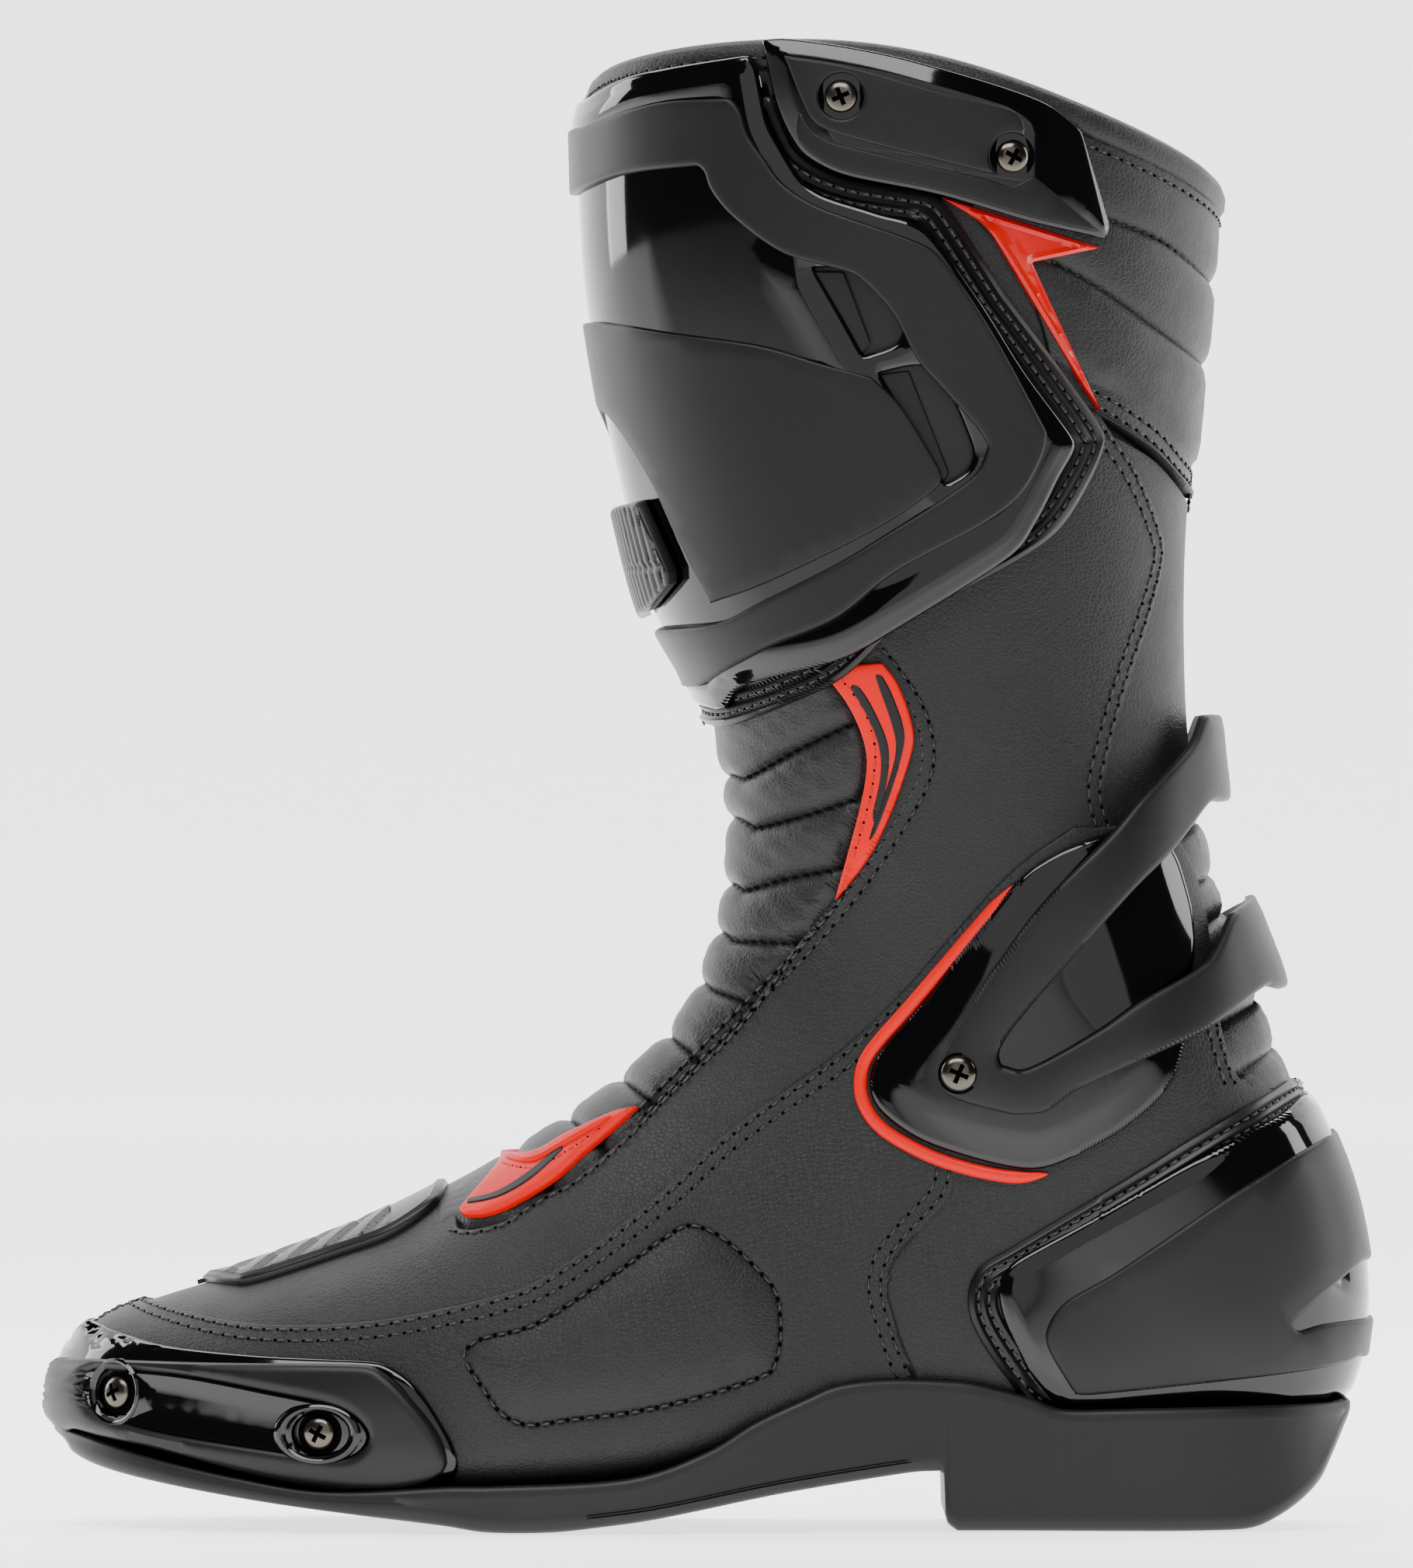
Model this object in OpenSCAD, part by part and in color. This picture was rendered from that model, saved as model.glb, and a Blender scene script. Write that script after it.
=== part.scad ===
// Motorcycle race boot, left foot. Toe towards -X, heel towards +X, outer side -Y, inner side +Y, sole on Z = 0.

/* [Upper] */
// Thickness of the upper leather
leather_t = 1.8; // [1.4:0.1:2.0]
// Thickness of the lining
lining_t = 1.4; // [1.0:0.1:1.6]
// Half width of the shaft at its top
shaft_half_w = 55; // [52:0.5:57]
// Half width of the upper at the ball of the foot
ball_half_w = 48.5; // [46:0.5:50]

/* [Armour] */
// Thickness of the moulded shin plate
plate_t = 1.6; // [1.2:0.1:1.8]
// Thickness of the brace arms
brace_t = 2.8; // [2.4:0.1:3.0]

/* [Fasteners] */
// Radius of a pan head screw
screw_head_r = 4.1; // [3.5:0.1:4.4]
// Radius of a screw shank
screw_r = 2; // [1.5:0.1:2.2]
// Running clearance of the brace on its pivot bush
pivot_clearance = 0.05; // [0.02:0.01:0.09]

/* [Sole] */
// Wall of the outsole cup
sole_wall = 3; // [2:0.5:4]

/* [Hidden] */
$fn = 32;

// The upper is a fan of sections. Each row is one section, a closed curve in the plane through its front point,
// its back point and the Y axis: front x, front z, back x, back z, half width, centre y, place of the widest
// point (0 at the back, 1 at the front), and the exponents of the front and back halves of the curve.
wb = ball_half_w;
ws = shaft_half_w;
SECTIONS = [
    [-148.5, 30.5, -148.5, 29.5, 0.5, 11, 0.45, 2, 2],
    [-147.3, 37.5, -147.3, 24, 9.5, 10.5, 0.45, 2, 2.2],
    [-143.6, 43.5, -143.6, 20.5, 17.5, 9.5, 0.42, 2, 2.6],
    [-137, 48.5, -137, 18, 25, 8, 0.4, 2.1, 3],
    [-124, 53, -124, 14.5, 34, 6.8, 0.36, 2.1, 3.6],
    [-103, 59.5, -101, 11, wb - 5.5, 5.5, 0.33, 2.1, 4.2],
    [-77, 69.5, -72, 8, wb - 0.5, 3, 0.3, 2.1, 4.8],
    [-51, 83, -42, 8.3, wb, -1.5, 0.28, 2.1, 5],
    [-29.5, 96.8, -8, 11.5, wb - 4, -4.5, 0.28, 2.2, 5],
    [-13, 110, 28, 19, 39.5, -4, 0.3, 2.3, 5],
    [-4.5, 121, 60, 23, 37.5, -2.5, 0.34, 2.4, 5],
    [-0.5, 130.5, 92, 23, 37.3, -1, 0.38, 2.5, 4.4],
    [2, 138.5, 119, 23, 37.8, 0, 0.42, 2.5, 3.5],
    [3.5, 146, 139, 25.5, 38.4, 0, 0.45, 2.5, 2.8],
    [4.2, 153, 147.5, 38, 39, 0, 0.46, 2.5, 2.4],
    [4.5, 160, 149, 58, 39.5, 0, 0.47, 2.5, 2.3],
    [4, 167.5, 144.5, 80, 40, 0, 0.48, 2.5, 2.3],
    [2.8, 175.5, 135, 102, 40.6, 0, 0.49, 2.5, 2.2],
    [1.8, 185, 126, 126, 41.8, 0, 0.5, 2.4, 2.2],
    [0.3, 197, 117, 151, 43.5, 0, 0.5, 2.4, 2.2],
    [-8, 213, 112, 180, 45.6, 0, 0.5, 2.3, 2.2],
    [-14.3, 237, 111, 217, 48.2, 0, 0.5, 2.3, 2.2],
    [-20, 263, 113, 251, ws - 4.4, 0, 0.5, 2.3, 2.2],
    [-24, 291, 116, 281, ws - 2.2, 0, 0.5, 2.3, 2.2],
    [-25.3, 322, 117.5, 306, ws - 0.8, 0, 0.5, 2.3, 2.2],
    [-26, 353, 118.3, 336, ws, 0, 0.5, 2.3, 2.2]
];
last = len(SECTIONS) - 1;

// Offsets from the outer face of the leather, inner and outer face of each layer
leather = [-leather_t, 0];
foam = [-4.5, -leather_t - 1.2];
lining = [-5 - lining_t, -5];
stiff = [-4.8, -leather_t - 1.4];
flange = [1.4, 1.9];
plate = [4.2, 4.2 + plate_t];
raised = [7.3, 8];
brace = [7.4 - brace_t, 7.4];

// Ankle pivot, and the radius about it at which the foot leather ends and the shaft leather begins
pivot = [57.6, 104.7];
foot_r = 72;
shaft_r = 73.4;

black = "#26272a";
gloss = "#0c0c0e";
matt = "#1d1e20";
red = "#e8302a";
steel = "#77787a";

// A section between two rows, by a Catmull-Rom spline through the rows
function row(i) =
    i < 0 ? let(r = SECTIONS[1]) [r[2], r[3], r[0], r[1], -r[4], r[5], r[6], r[7], r[8]]
    : i > last ? 2 * SECTIONS[last] - SECTIONS[last - 1]
    : SECTIONS[i];
function section(t) =
    let(i = max(0, min(floor(t), last - 1)), f = t - i, a = row(i - 1), b = row(i), c = row(i + 1), d = row(i + 2))
    b + 0.5 * f * ((c - a) + f * (2 * a - 5 * b + 4 * c - d + f * (3 * (b - c) + d - a)));

// Point of the base surface at section t and angle phi: 0 front, 90 outer side, 180 back, -90 inner side
function base(t, phi) =
    let(
        r = section(t),
        span = [r[2] - r[0], r[3] - r[1]],
        l = max(norm(span), 0.01),
        u = -span / l,
        cp = cos(phi),
        a = cp > 0 ? (1 - r[6]) * l : r[6] * l,
        n = cp > 0 ? r[7] : r[8],
        d = (pow(abs(cp) / a, n) + pow(abs(sin(phi)) / max(r[4], 0.1), n)) ^ (-1 / n),
        s = d * cp + r[6] * l
    )
    [r[2] + u[0] * s, r[5] - d * sin(phi), r[3] + u[1] * s];

// The same point moved outwards along the normal by off
function lift(p, off) =
    let(
        o = base(p[0], p[1]),
        a = base(p[0] + 0.05, p[1]) - base(p[0] - 0.05, p[1]),
        b = base(p[0], p[1] + 1) - base(p[0], p[1] - 1),
        n = cross(b, a)
    )
    o + n / norm(n) * off;

// Section and angle of a point of the side view
function beyond(t, x, z) =
    let(r = section(t)) (r[0] - r[2]) * (z - r[3]) - (r[1] - r[3]) * (x - r[2]);
function halve(x, z, a, b, k) =
    k == 0 ? (a + b) / 2
    : let(m = (a + b) / 2) beyond(m, x, z) > 0 ? halve(x, z, a, m, k - 1) : halve(x, z, m, b, k - 1);
function bracket(x, z, i) = i >= last - 1 || beyond(i + 1, x, z) > 0 ? i : bracket(x, z, i + 1);
function on_side(q) =
    let(
        i = bracket(q[0], q[1], 0),
        t = halve(q[0], q[1], i, i + 1, 14),
        r = section(t),
        span = [r[0] - r[2], r[1] - r[3]],
        l = norm(span),
        s = ([q[0] - r[2], q[1] - r[3]] * span) / l - r[6] * l,
        a = s > 0 ? (1 - r[6]) * l : r[6] * l,
        n = s > 0 ? r[7] : r[8],
        y = r[4] * pow(max(0, 1 - pow(abs(s) / a, n)), 1 / n)
    )
    [t, atan2(y, s)];
function side(points) = [for (q = points) on_side(q)];

// A boundary as a table that gives the angle at a section
function edge(points) = [for (q = side(points)) [q[0], q[1]]];
function mirrored(curve) = [for (p = curve) [p[0], -p[1]]];
// A curve of the outer side carried round the back, where it ends, and on to the inner side
function joined(curve) =
    let(n = len(curve) - 1)
    concat([for (i = [0 : n - 1]) curve[i]], [[curve[n][0], 180]],
        [for (i = [n - 1 : -1 : 0]) [curve[i][0], 360 - curve[i][1]]]);

// A curve resampled to n + 1 points, evenly along its list
function at(curve, f) =
    let(k = f * (len(curve) - 1), i = min(floor(k), len(curve) - 2), g = k - i)
    curve[i] * (1 - g) + curve[i + 1] * g;
function even(curve, n) = [for (i = [0 : n]) at(curve, i / n)];

// Grids: between two curves, and between two angle limits over a range of sections
function ruled(c1, c2, rows, cols) =
    let(a = even(c1, cols), b = even(c2, cols))
    [for (i = [0 : rows]) [for (j = [0 : cols]) a[j] * (1 - i / rows) + b[j] * i / rows]];
function band(t0, t1, rows, cols, lo, hi) =
    [for (i = [0 : rows]) let(t = t0 + (t1 - t0) * i / rows)
        [for (j = [0 : cols]) [t, lo(t) + (hi(t) - lo(t)) * j / cols]]];

// A closed shell over the cells of a grid that are kept
module shell(grid, faces_at, keep = function(i, j) true, bump = function(i, j) 0) {
    rows = len(grid) - 1;
    cols = len(grid[0]) - 1;
    w = cols + 1;
    n = (rows + 1) * w;
    inner = [for (i = [0 : rows]) for (j = [0 : cols]) lift(grid[i][j], faces_at[0])];
    outer = [for (i = [0 : rows]) for (j = [0 : cols]) lift(grid[i][j], faces_at[1] + bump(i, j))];
    kept = function(i, j) i >= 0 && j >= 0 && i < rows && j < cols && keep(i, j);
    turn = [for (i = [0 : rows - 1]) for (j = [0 : cols - 1]) let(
        u = grid[i + 1][j] - grid[i][j], v = grid[i][j + 1] - grid[i][j]) u[0] * v[1] - u[1] * v[0]];
    flipped = turn * [for (k = turn) 1] < 0;
    walls = [for (i = [0 : rows - 1]) for (j = [0 : cols - 1]) if (keep(i, j))
        let(a = i * w + j, b = a + 1, c = a + w + 1, d = a + w)
        each concat(
            [[a, b, c], [a, c, d], [n + a, n + c, n + b], [n + a, n + d, n + c]],
            kept(i - 1, j) ? [] : [[a, n + a, n + b], [a, n + b, b]],
            kept(i + 1, j) ? [] : [[d, c, n + c], [d, n + c, n + d]],
            kept(i, j - 1) ? [] : [[a, d, n + d], [a, n + d, n + a]],
            kept(i, j + 1) ? [] : [[b, n + b, n + c], [b, n + c, c]]
        )
    ];
    polyhedron(concat(inner, outer), flipped ? [for (f = walls) [f[0], f[2], f[1]]] : walls, convexity = 8);
}

// Children stand on the surface at a side view point, their Z axis along the outward normal
module on_surface(q, off, inner_side = false) {
    p = on_side(q);
    pp = [p[0], inner_side ? -p[1] : p[1]];
    o = lift(pp, off);
    n = lift(pp, off + 1) - o;
    translate(o) rotate([0, acos(n[2] / norm(n)), atan2(n[1], n[0])]) children();
}

// Pan head screw, its head resting on Z = 0, with a cross recess
module pan_screw(length, head_r = screw_head_r) {
    difference() {
        union() {
            rotate_extrude() polygon([[0, 0], [head_r, 0], [head_r, 1.2], [head_r * 0.75, 2.1], [0, 2.4]]);
            translate([0, 0, -length]) cylinder(h = length + 0.1, r = screw_r);
        }
        for (a = [0, 90]) rotate(a) translate([-head_r * 0.5, -0.45, 1.2]) cube([head_r, 0.9, 2]);
    }
}
module tee_nut(depth) {
    translate([0, 0, -depth]) difference() {
        union() {
            cylinder(h = 0.8, r = 5);
            cylinder(h = 2.1, r = 3.1);
        }
        translate([0, 0, -1]) cylinder(h = 6, r = screw_r + 0.05);
    }
}

// Boundaries of the panels in the side view
accordion_edge = edge([[-58, 69.5], [-46.8, 71], [-36.7, 77.5], [-23.6, 86], [-10.6, 96.6], [9.8, 117],
    [23.5, 130.7], [37.1, 147], [47.3, 163.3], [51.7, 172.2], [52.1, 180.4], [49.3, 189.2], [43.9, 197.4]]);
vamp_seam = edge([[-146, 44], [-140.3, 50.5], [-125.4, 48.9], [-111.5, 46.1], [-87.3, 45.4], [-62.2, 46.6],
    [-39.1, 55.1], [-23.6, 65.2], [-8.2, 77.5], [3.4, 88.3], [15, 96.8], [31.2, 108.4], [37, 130], [41, 150]]);
rear_edge = edge([[113, 102], [112, 115], [112, 128], [110, 142], [107.5, 155.5]]);
flange_edge = edge([[2, 186.5], [8.4, 185.5], [29.5, 193.8], [52.8, 211.9], [70.8, 221.8], [80.3, 228.8],
    [86.8, 238.8], [90.6, 247.8], [82.8, 262.8], [67.8, 282.8], [57.8, 298.3], [50, 305.1], [32.3, 308.3],
    [21.8, 313.5], [17.6, 319.8], [12.4, 339.6]]);
plate_edge = edge([[3, 190], [8.4, 193.1], [29.5, 198.1], [43.6, 205.1], [69.5, 221.3], [80.8, 241.8],
    [84.3, 248.6], [72.8, 264.8], [61.8, 281.8], [50, 296.8], [26, 305.1], [16.1, 316.6], [11.1, 333.3]]);
frame_outer = edge([[2, 194], [8.4, 198.8], [29.5, 208.6], [62.8, 229.8], [71.8, 236.8], [77.8, 250.8],
    [65.7, 272.8], [49, 293.7], [26, 302], [13.5, 312.5], [7.7, 323.9]]);
frame_inner = edge([[1, 212], [11.9, 216], [42.8, 229.3], [54.8, 236.8], [64.3, 247.8], [53.8, 259.8],
    [42.7, 275.9], [32.3, 286.9], [17.6, 291.6], [0.9, 306.2]]);
calf_seam = edge([[93, 169], [94.5, 182], [101.7, 207.9], [105.2, 222.8], [98.8, 242.8], [90.8, 253.3],
    [80, 275], [76, 300], [86, 320]]);

function angle(table, t) = lookup(t, table);
function rim(phi) = on_rim[0] + (on_rim[1] - on_rim[0]) * (1 - cos(phi)) / 2 + on_rim[2] * pow(abs(sin(phi)), 1.2);
// Section number of the rim at the front, at the back, and its rise at the sides
on_rim = [24.3, 24.06, 0.6];
inner_share = 0.62;
bottom = 148;

arc_points = [for (a = [96 : -8 : 48]) pivot + foot_r * [cos(a), sin(a)]];
shaft_arc = [for (a = [96 : -8 : 48]) pivot + shaft_r * [cos(a), sin(a)]];

// Sole: plan outline by hand, and its side profile
SOLE_PLAN = [[-151.5, 10], [-147.5, -7], [-138, -21], [-122, -33.5], [-98, -43.5], [-70, -50.5], [-40, -54],
    [-10, -52.5], [20, -48], [50, -43.8], [80, -41], [110, -39], [130, -33.5], [144, -22], [151.5, -6],
    [151.5, 6], [144, 21], [130, 32.5], [110, 38.5], [80, 39.5], [50, 38.5], [20, 39], [-10, 43.5], [-40, 50.5],
    [-70, 55.5], [-98, 54.5], [-122, 47.5], [-138, 36.5], [-147.5, 24]];
function loop_at(p, i) = p[(i + len(p)) % len(p)];
function smooth(p, k) = [for (i = [0 : len(p) - 1]) for (j = [0 : k - 1])
    let(f = j / k, a = loop_at(p, i - 1), b = p[i], c = loop_at(p, i + 1), d = loop_at(p, i + 2))
    b + 0.5 * f * ((c - a) + f * (2 * a - 5 * b + 4 * c - d + f * (3 * (b - c) + d - a)))];
function inset(p, d) = [for (i = [0 : len(p) - 1])
    let(v = loop_at(p, i + 1) - loop_at(p, i - 1)) p[i] + d * [-v[1], v[0]] / norm(v)];
sole_plan = smooth(SOLE_PLAN, 3);
sole_bottom = [[-151, 22], [-148, 19.5], [-145.9, 16.7], [-138.8, 13.7], [-124.5, 10.5], [-103.2, 6.9],
    [-81.8, 4.1], [-60.4, 1.6], [-50, 0], [-36, 0], [-24.8, 1.2], [-10.6, 3.2], [17.9, 8.9], [46.4, 13.4],
    [54.2, 13.8], [54.6, 3.5], [57.4, 0], [122, 0], [131.8, 3.4], [140, 9.9], [144, 17], [147.5, 26], [152, 31.5]];
sole_top = [[144, 28.3], [100, 27.6], [81.2, 27.3], [66.1, 32.5], [58.2, 34.1], [42, 34.7], [30.4, 33.5],
    [11.1, 25], [-0.5, 18.1], [-18.2, 12.3], [-48, 10.6], [-60, 10.4], [-87, 9], [-108, 12], [-129, 16.6],
    [-145, 21], [-151, 23]];
insole_line = [for (i = [1 : 13]) [SECTIONS[i][2], SECTIONS[i][3] - 0.7]];

module side_prism(points, half = 70) {
    translate([0, half, 0]) rotate([90, 0, 0]) linear_extrude(2 * half) polygon(points);
}
module plan_prism(points, z0, z1) {
    translate([0, 0, z0]) linear_extrude(z1 - z0) polygon(points);
}
module under_sole_top() {
    side_prism(concat([for (q = sole_top) q + [0, 0.4]], [[-170, 23.4], [-170, -5], [144, -5]]));
}
module tread_region(gap, depth) {
    intersection() {
        plan_prism(inset(sole_plan, 6 + gap), -1, 60);
        side_prism([[-22 + gap, -1], [46.6 - gap, -1], [46.6 - gap, 16.2 + depth - gap], [20, 11.2 + depth - gap],
            [-22 + gap, 3 + depth - gap]]);
    }
}

module outsole() {
    color(matt) difference() {
        intersection() {
            plan_prism(sole_plan, -1, 60);
            side_prism(concat(sole_bottom, sole_top));
        }
        intersection() {
            plan_prism(inset(sole_plan, sole_wall), -1, 60);
            side_prism(concat(insole_line, [[149, 30], [149, 60], [-149, 60], [-149, 22]]));
        }
        tread_region(0, 0);
    }
}
module tread_insert() {
    color(black) intersection() {
        tread_region(0.15, 0);
        side_prism(concat(sole_bottom, [[152, 60], [-152, 60]]));
    }
}
module lasting_board() {
    color("#6b5a45") shell(band(1.8, 12.2, 14, 5, function(t) 148, function(t) 212), [-5, -leather_t - 1.4]);
}
module shank() {
    color(steel) shell(band(6.5, 11.2, 10, 1, function(t) 173, function(t) 187), [-1.2, -0.2]);
}
module footbed() {
    color("#3a3b3e") shell(band(2.6, 12, 14, 5, function(t) 151, function(t) 209), [-13.8, -10.4]);
}
module toe_puff() {
    color("#8a8375") difference() {
        shell(band(0.9, 4.6, 9, 16, function(t) -118, function(t) 118), stiff);
        for (q = slider_screws) on_surface(q, -8) cylinder(h = 8, r = 5.6);
    }
}
module heel_stiffener() {
    color("#8a8375") shell(band(13, 16.4, 8, 16, function(t) 100, function(t) 260), stiff - [1.9, 1.9]);
}
module foot_liner() {
    color("#2c2f33") shell(band(1.2, 11.8, 16, 16,
        function(t) angle(accordion_edge, max(t, 6.6)) * (t > 6.4 ? 1 : 0.02),
        function(t) 360 - angle(accordion_edge, max(t, 6.6)) * (t > 6.4 ? 1 : 0.02)), lining - [1, 1]);
}

// Outer toe armour: all round the tip, then below its upper edge on both sides
guard_top = edge([[-142, 46.2], [-132.3, 43.3], [-121.9, 41.2], [-101.2, 39.5], [-76.9, 38.8], [-69, 35],
    [-62, 27], [-58, 19]]);
guard_low = 124;
guard_sections = [0.35, 0.8, 1.3, 1.8, 2.35, 2.7, 3.1, 3.6, 4.2, 4.8, 5.4, 5.9, 6.3];
function guard_row(t) =
    let(a = max(12, angle(guard_top, t)))
    concat([for (k = [0 : 5]) guard_low + (a - guard_low) * k / 5], [a / 2, 0, -a / 2],
        [for (k = [5 : -1 : 0]) -guard_low - (a - guard_low) * k / 5]);
module toe_guard() {
    grid = [for (t = guard_sections) [for (a = guard_row(t)) [t, a]]];
    color(gloss) difference() {
        shell(grid, [1.6, 2.5], function(i, j) i < 4 || j < 5 || j > 8);
        under_sole_top();
        slider_bores(screw_r + 0.3);
    }
}
slider_top = [[-151, 34], [-147, 38.2], [-139, 38.5], [-115, 38.5], [-92, 38.5], [-78.3, 37.5], [-68, 28], [-60, 15]];
slider_low = [[-151, 25], [-147.5, 23], [-139, 20.5], [-128.9, 18.2], [-108.1, 13.8], [-87.3, 10.6], [-73.5, 9.8],
    [-62, 11]];
slider_screws = [[-135.8, 31.2], [-88.7, 22.5]];
module toe_slider() {
    color(gloss) difference() {
        shell(ruled(side(slider_low), side(slider_top), 5, 18), [3.3, 6.4],
            bump = function(i, j) j == 0 ? -3 : j == 1 ? -1 : i == 0 || i == 5 || j == 18 ? -1.5 : 0);
        for (q = slider_screws) on_surface(q, 4.4) cylinder(h = 8, r = screw_head_r + 0.5);
        under_sole_top();
        slider_bores(screw_r + 0.3);
    }
}
module slider_bores(r) {
    for (q = slider_screws) on_surface(q, -6) cylinder(h = 16, r = r);
}
module toe_slider_screws() {
    color(steel) for (q = slider_screws) on_surface(q, 4.5) pan_screw(9, 3.9);
}
module toe_slider_nuts() {
    color(steel) for (q = slider_screws) on_surface(q, 0) tee_nut(4.8);
}

vamp_start = 2.8;
vamp_end = 11.7;
module vamp() {
    grid = [for (t = quarter_sections) if (t >= vamp_start && t <= vamp_end) let(
        s = angle(vamp_seam, t) - 1.6,
        m = min(angle(accordion_edge, max(t, 6.5)) + 0.6, s - 1.5))
        [for (a = [s, (s + m) / 2, m, m * 0.6, m * 0.2, -m * 0.2, -m * 0.6, -m, -(s + m) / 2, -s]) [t, a]]];
    color(black) shell(grid, leather, function(i, j) i < 7 || j < 2 || j > 6);
}
vamp_trim_low = [[-55, 72.6], [-46.8, 83.2], [-39.1, 85.8], [-31.3, 90]];
vamp_trim_high = [[-53, 72.8], [-46.8, 73.8], [-35.2, 80.3], [-20.5, 92.6]];
module vamp_trim() {
    for (m = [1, -1])
        color(red) shell(ruled([for (p = side(vamp_trim_low)) [p[0], m * max(p[1], 6)]],
            [for (p = side(vamp_trim_high)) [p[0], m * p[1]]], 2, 5), [2.6, 3.4]);
}
module shift_pad() {
    grid = band(3.3, 6.45, 8, 8, function(t) -36 - (t - 3.3) * 2, function(t) 36 + (t - 3.3) * 2);
    color(black) shell(grid, [0.6, 2.2], bump = function(i, j) i % 2 == 0 ? 0 : 0.8);
}

// Foot leather of one side, from the toe to behind the ankle; it ends on an arc about the pivot
function quarter_front(t) = t < vamp_end + 0.1 ? angle(vamp_seam, t) + 1.6 : angle(accordion_edge, t) + 0.8;
function quarter_back(t) =
    lookup(t, [[11.2, bottom], [13, 160], [14, 172], [16.6, 174], [16.8, angle(rear_edge, 17) - 1],
        [19.3, angle(rear_edge, 19) - 1]]);
quarter_sections = concat([0.55, 0.8, 1.1, 1.4, 1.8, 2.3, 2.8, 3.4, 3.7, 4, 4.5, 5, 6, 6.5], [for (t = [7 : 11]) t],
    [vamp_end, vamp_end + 0.2, 12.5, 13, 13.5, 14, 14.5, 15, 15.5, 16, 16.5, 16.85, 17.5, 18.3, 19]);
// The last row of the grid lies on the arc about the pivot
function arc_section(phi) = lookup(phi, [for (p = side(arc_points)) [p[1], p[0]]]);
function quarter_grid(m) =
    let(n = len(quarter_sections))
    [for (i = [0 : n]) let(t = i < n ? quarter_sections[i] : 19.3)
        [for (j = [0 : 9]) let(phi = quarter_front(t) + (quarter_back(t) - quarter_front(t)) * j / 9)
            [i < n ? t : max(t - 0.28, arc_section(phi)), m * phi]]];
module quarter_lateral() {
    color(black) difference() {
        shell(quarter_grid(1), leather);
        slider_bores(screw_r + 0.3);
        pivot_axis() cylinder(h = 140, r = screw_r + 0.4, center = true);
    }
}
module quarter_medial() {
    color(black) difference() {
        shell(quarter_grid(-1), leather);
        pivot_axis() cylinder(h = 140, r = screw_r + 0.4, center = true);
    }
}

// Heel: three layers that wrap round the back from one side to the other
function heel_wrap(high, low, rows, cols) =
    ruled(joined(side(high)), joined(side(low)), rows, cols);
module heel_flange() {
    high = [[61, 52], [63, 60.5], [82, 72], [105, 86], [124, 96], [137, 102.5]];
    low = [[73, 33], [80, 30], [95, 29.2], [115, 29], [134, 29], [146.5, 31]];
    color(black) shell(heel_wrap(high, low, 4, 26), [1.4, 1.8]);
}
module heel_counter() {
    high = [[67, 52], [70.5, 61], [86, 70.3], [109.8, 83.8], [126, 92.5], [138.5, 98.5]];
    low = [[78, 32], [84, 30.5], [97, 29.8], [115, 29.6], [134, 29.6], [147, 32]];
    color(gloss) shell(heel_wrap(high, low, 4, 26), [2.1, 3.2]);
}
module heel_cover() {
    high = [[79, 46], [83, 52.5], [94, 59], [118, 75], [134, 85], [143.5, 89]];
    low = [[84.4, 34], [92, 34.5], [104, 35], [120, 36], [136, 38], [148.5, 41]];
    color(matt) shell(heel_wrap(high, low, 4, 26), [4, 5]);
}

cup_high = [[38, 102], [40, 109.9], [49.7, 121.2], [58.7, 133.9], [70, 147.4], [82, 155.5], [106, 155]];
cup_low = [[39.5, 97.5], [47.5, 91.5], [58.7, 87], [72, 84.3], [88, 88.5], [104, 101.7], [111.5, 128]];
module ankle_cup(m) {
    grid = ruled([for (p = side(cup_high)) [p[0], m * p[1]]], [for (p = side(cup_low)) [p[0], m * p[1]]], 7, 11);
    color(gloss) difference() {
        shell(grid, [0.9, 2.9]);
        pivot_axis() cylinder(h = 140, r = screw_r + 0.4, center = true);
    }
}
module ankle_cup_lateral() {
    ankle_cup(1);
}
module ankle_cup_medial() {
    ankle_cup(-1);
}
module ankle_piping(m) {
    line = [[82, 158.5], [70, 150.5], [58, 137.3], [45, 121.2], [36.6, 110], [34.4, 103.5], [35.2, 96.9],
        [40, 90.4], [50, 84.8], [62, 81.3], [73, 79.8], [84, 82.4]];
    core = [for (q = line) q + 2.2 * ([68, 112] - q) / norm([68, 112] - q)];
    color(red) shell(ruled([for (p = side(line)) [p[0], m * p[1]]], [for (p = side(core)) [p[0], m * p[1]]], 1, 16),
        [0.6, 2.2]);
}
module ankle_piping_lateral() {
    ankle_piping(1);
}
module ankle_piping_medial() {
    ankle_piping(-1);
}

// Pivot hardware: everything here is round about the axis through the pivot, parallel to Y
pivot_y = -lift(on_side(pivot), 0)[1];
boss_r = 7;
bush_r = 4;
module pivot_axis() {
    translate([pivot[0], 0, pivot[1]]) rotate([90, 0, 0]) children();
}
module both_ends() {
    pivot_axis() {
        children();
        mirror([0, 0, 1]) children();
    }
}
module ankle_screws() {
    color(steel) both_ends() translate([0, 0, pivot_y + 8]) pan_screw(12);
}
module ankle_nuts() {
    color(steel) both_ends() translate([0, 0, pivot_y]) tee_nut(6);
}
module brace_bushes() {
    color("#9a8a55") both_ends() translate([0, 0, pivot_y + 3.4]) difference() {
        cylinder(h = 4.5, r = bush_r);
        translate([0, 0, -1]) cylinder(h = 8, r = screw_r + 0.05);
    }
}

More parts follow.
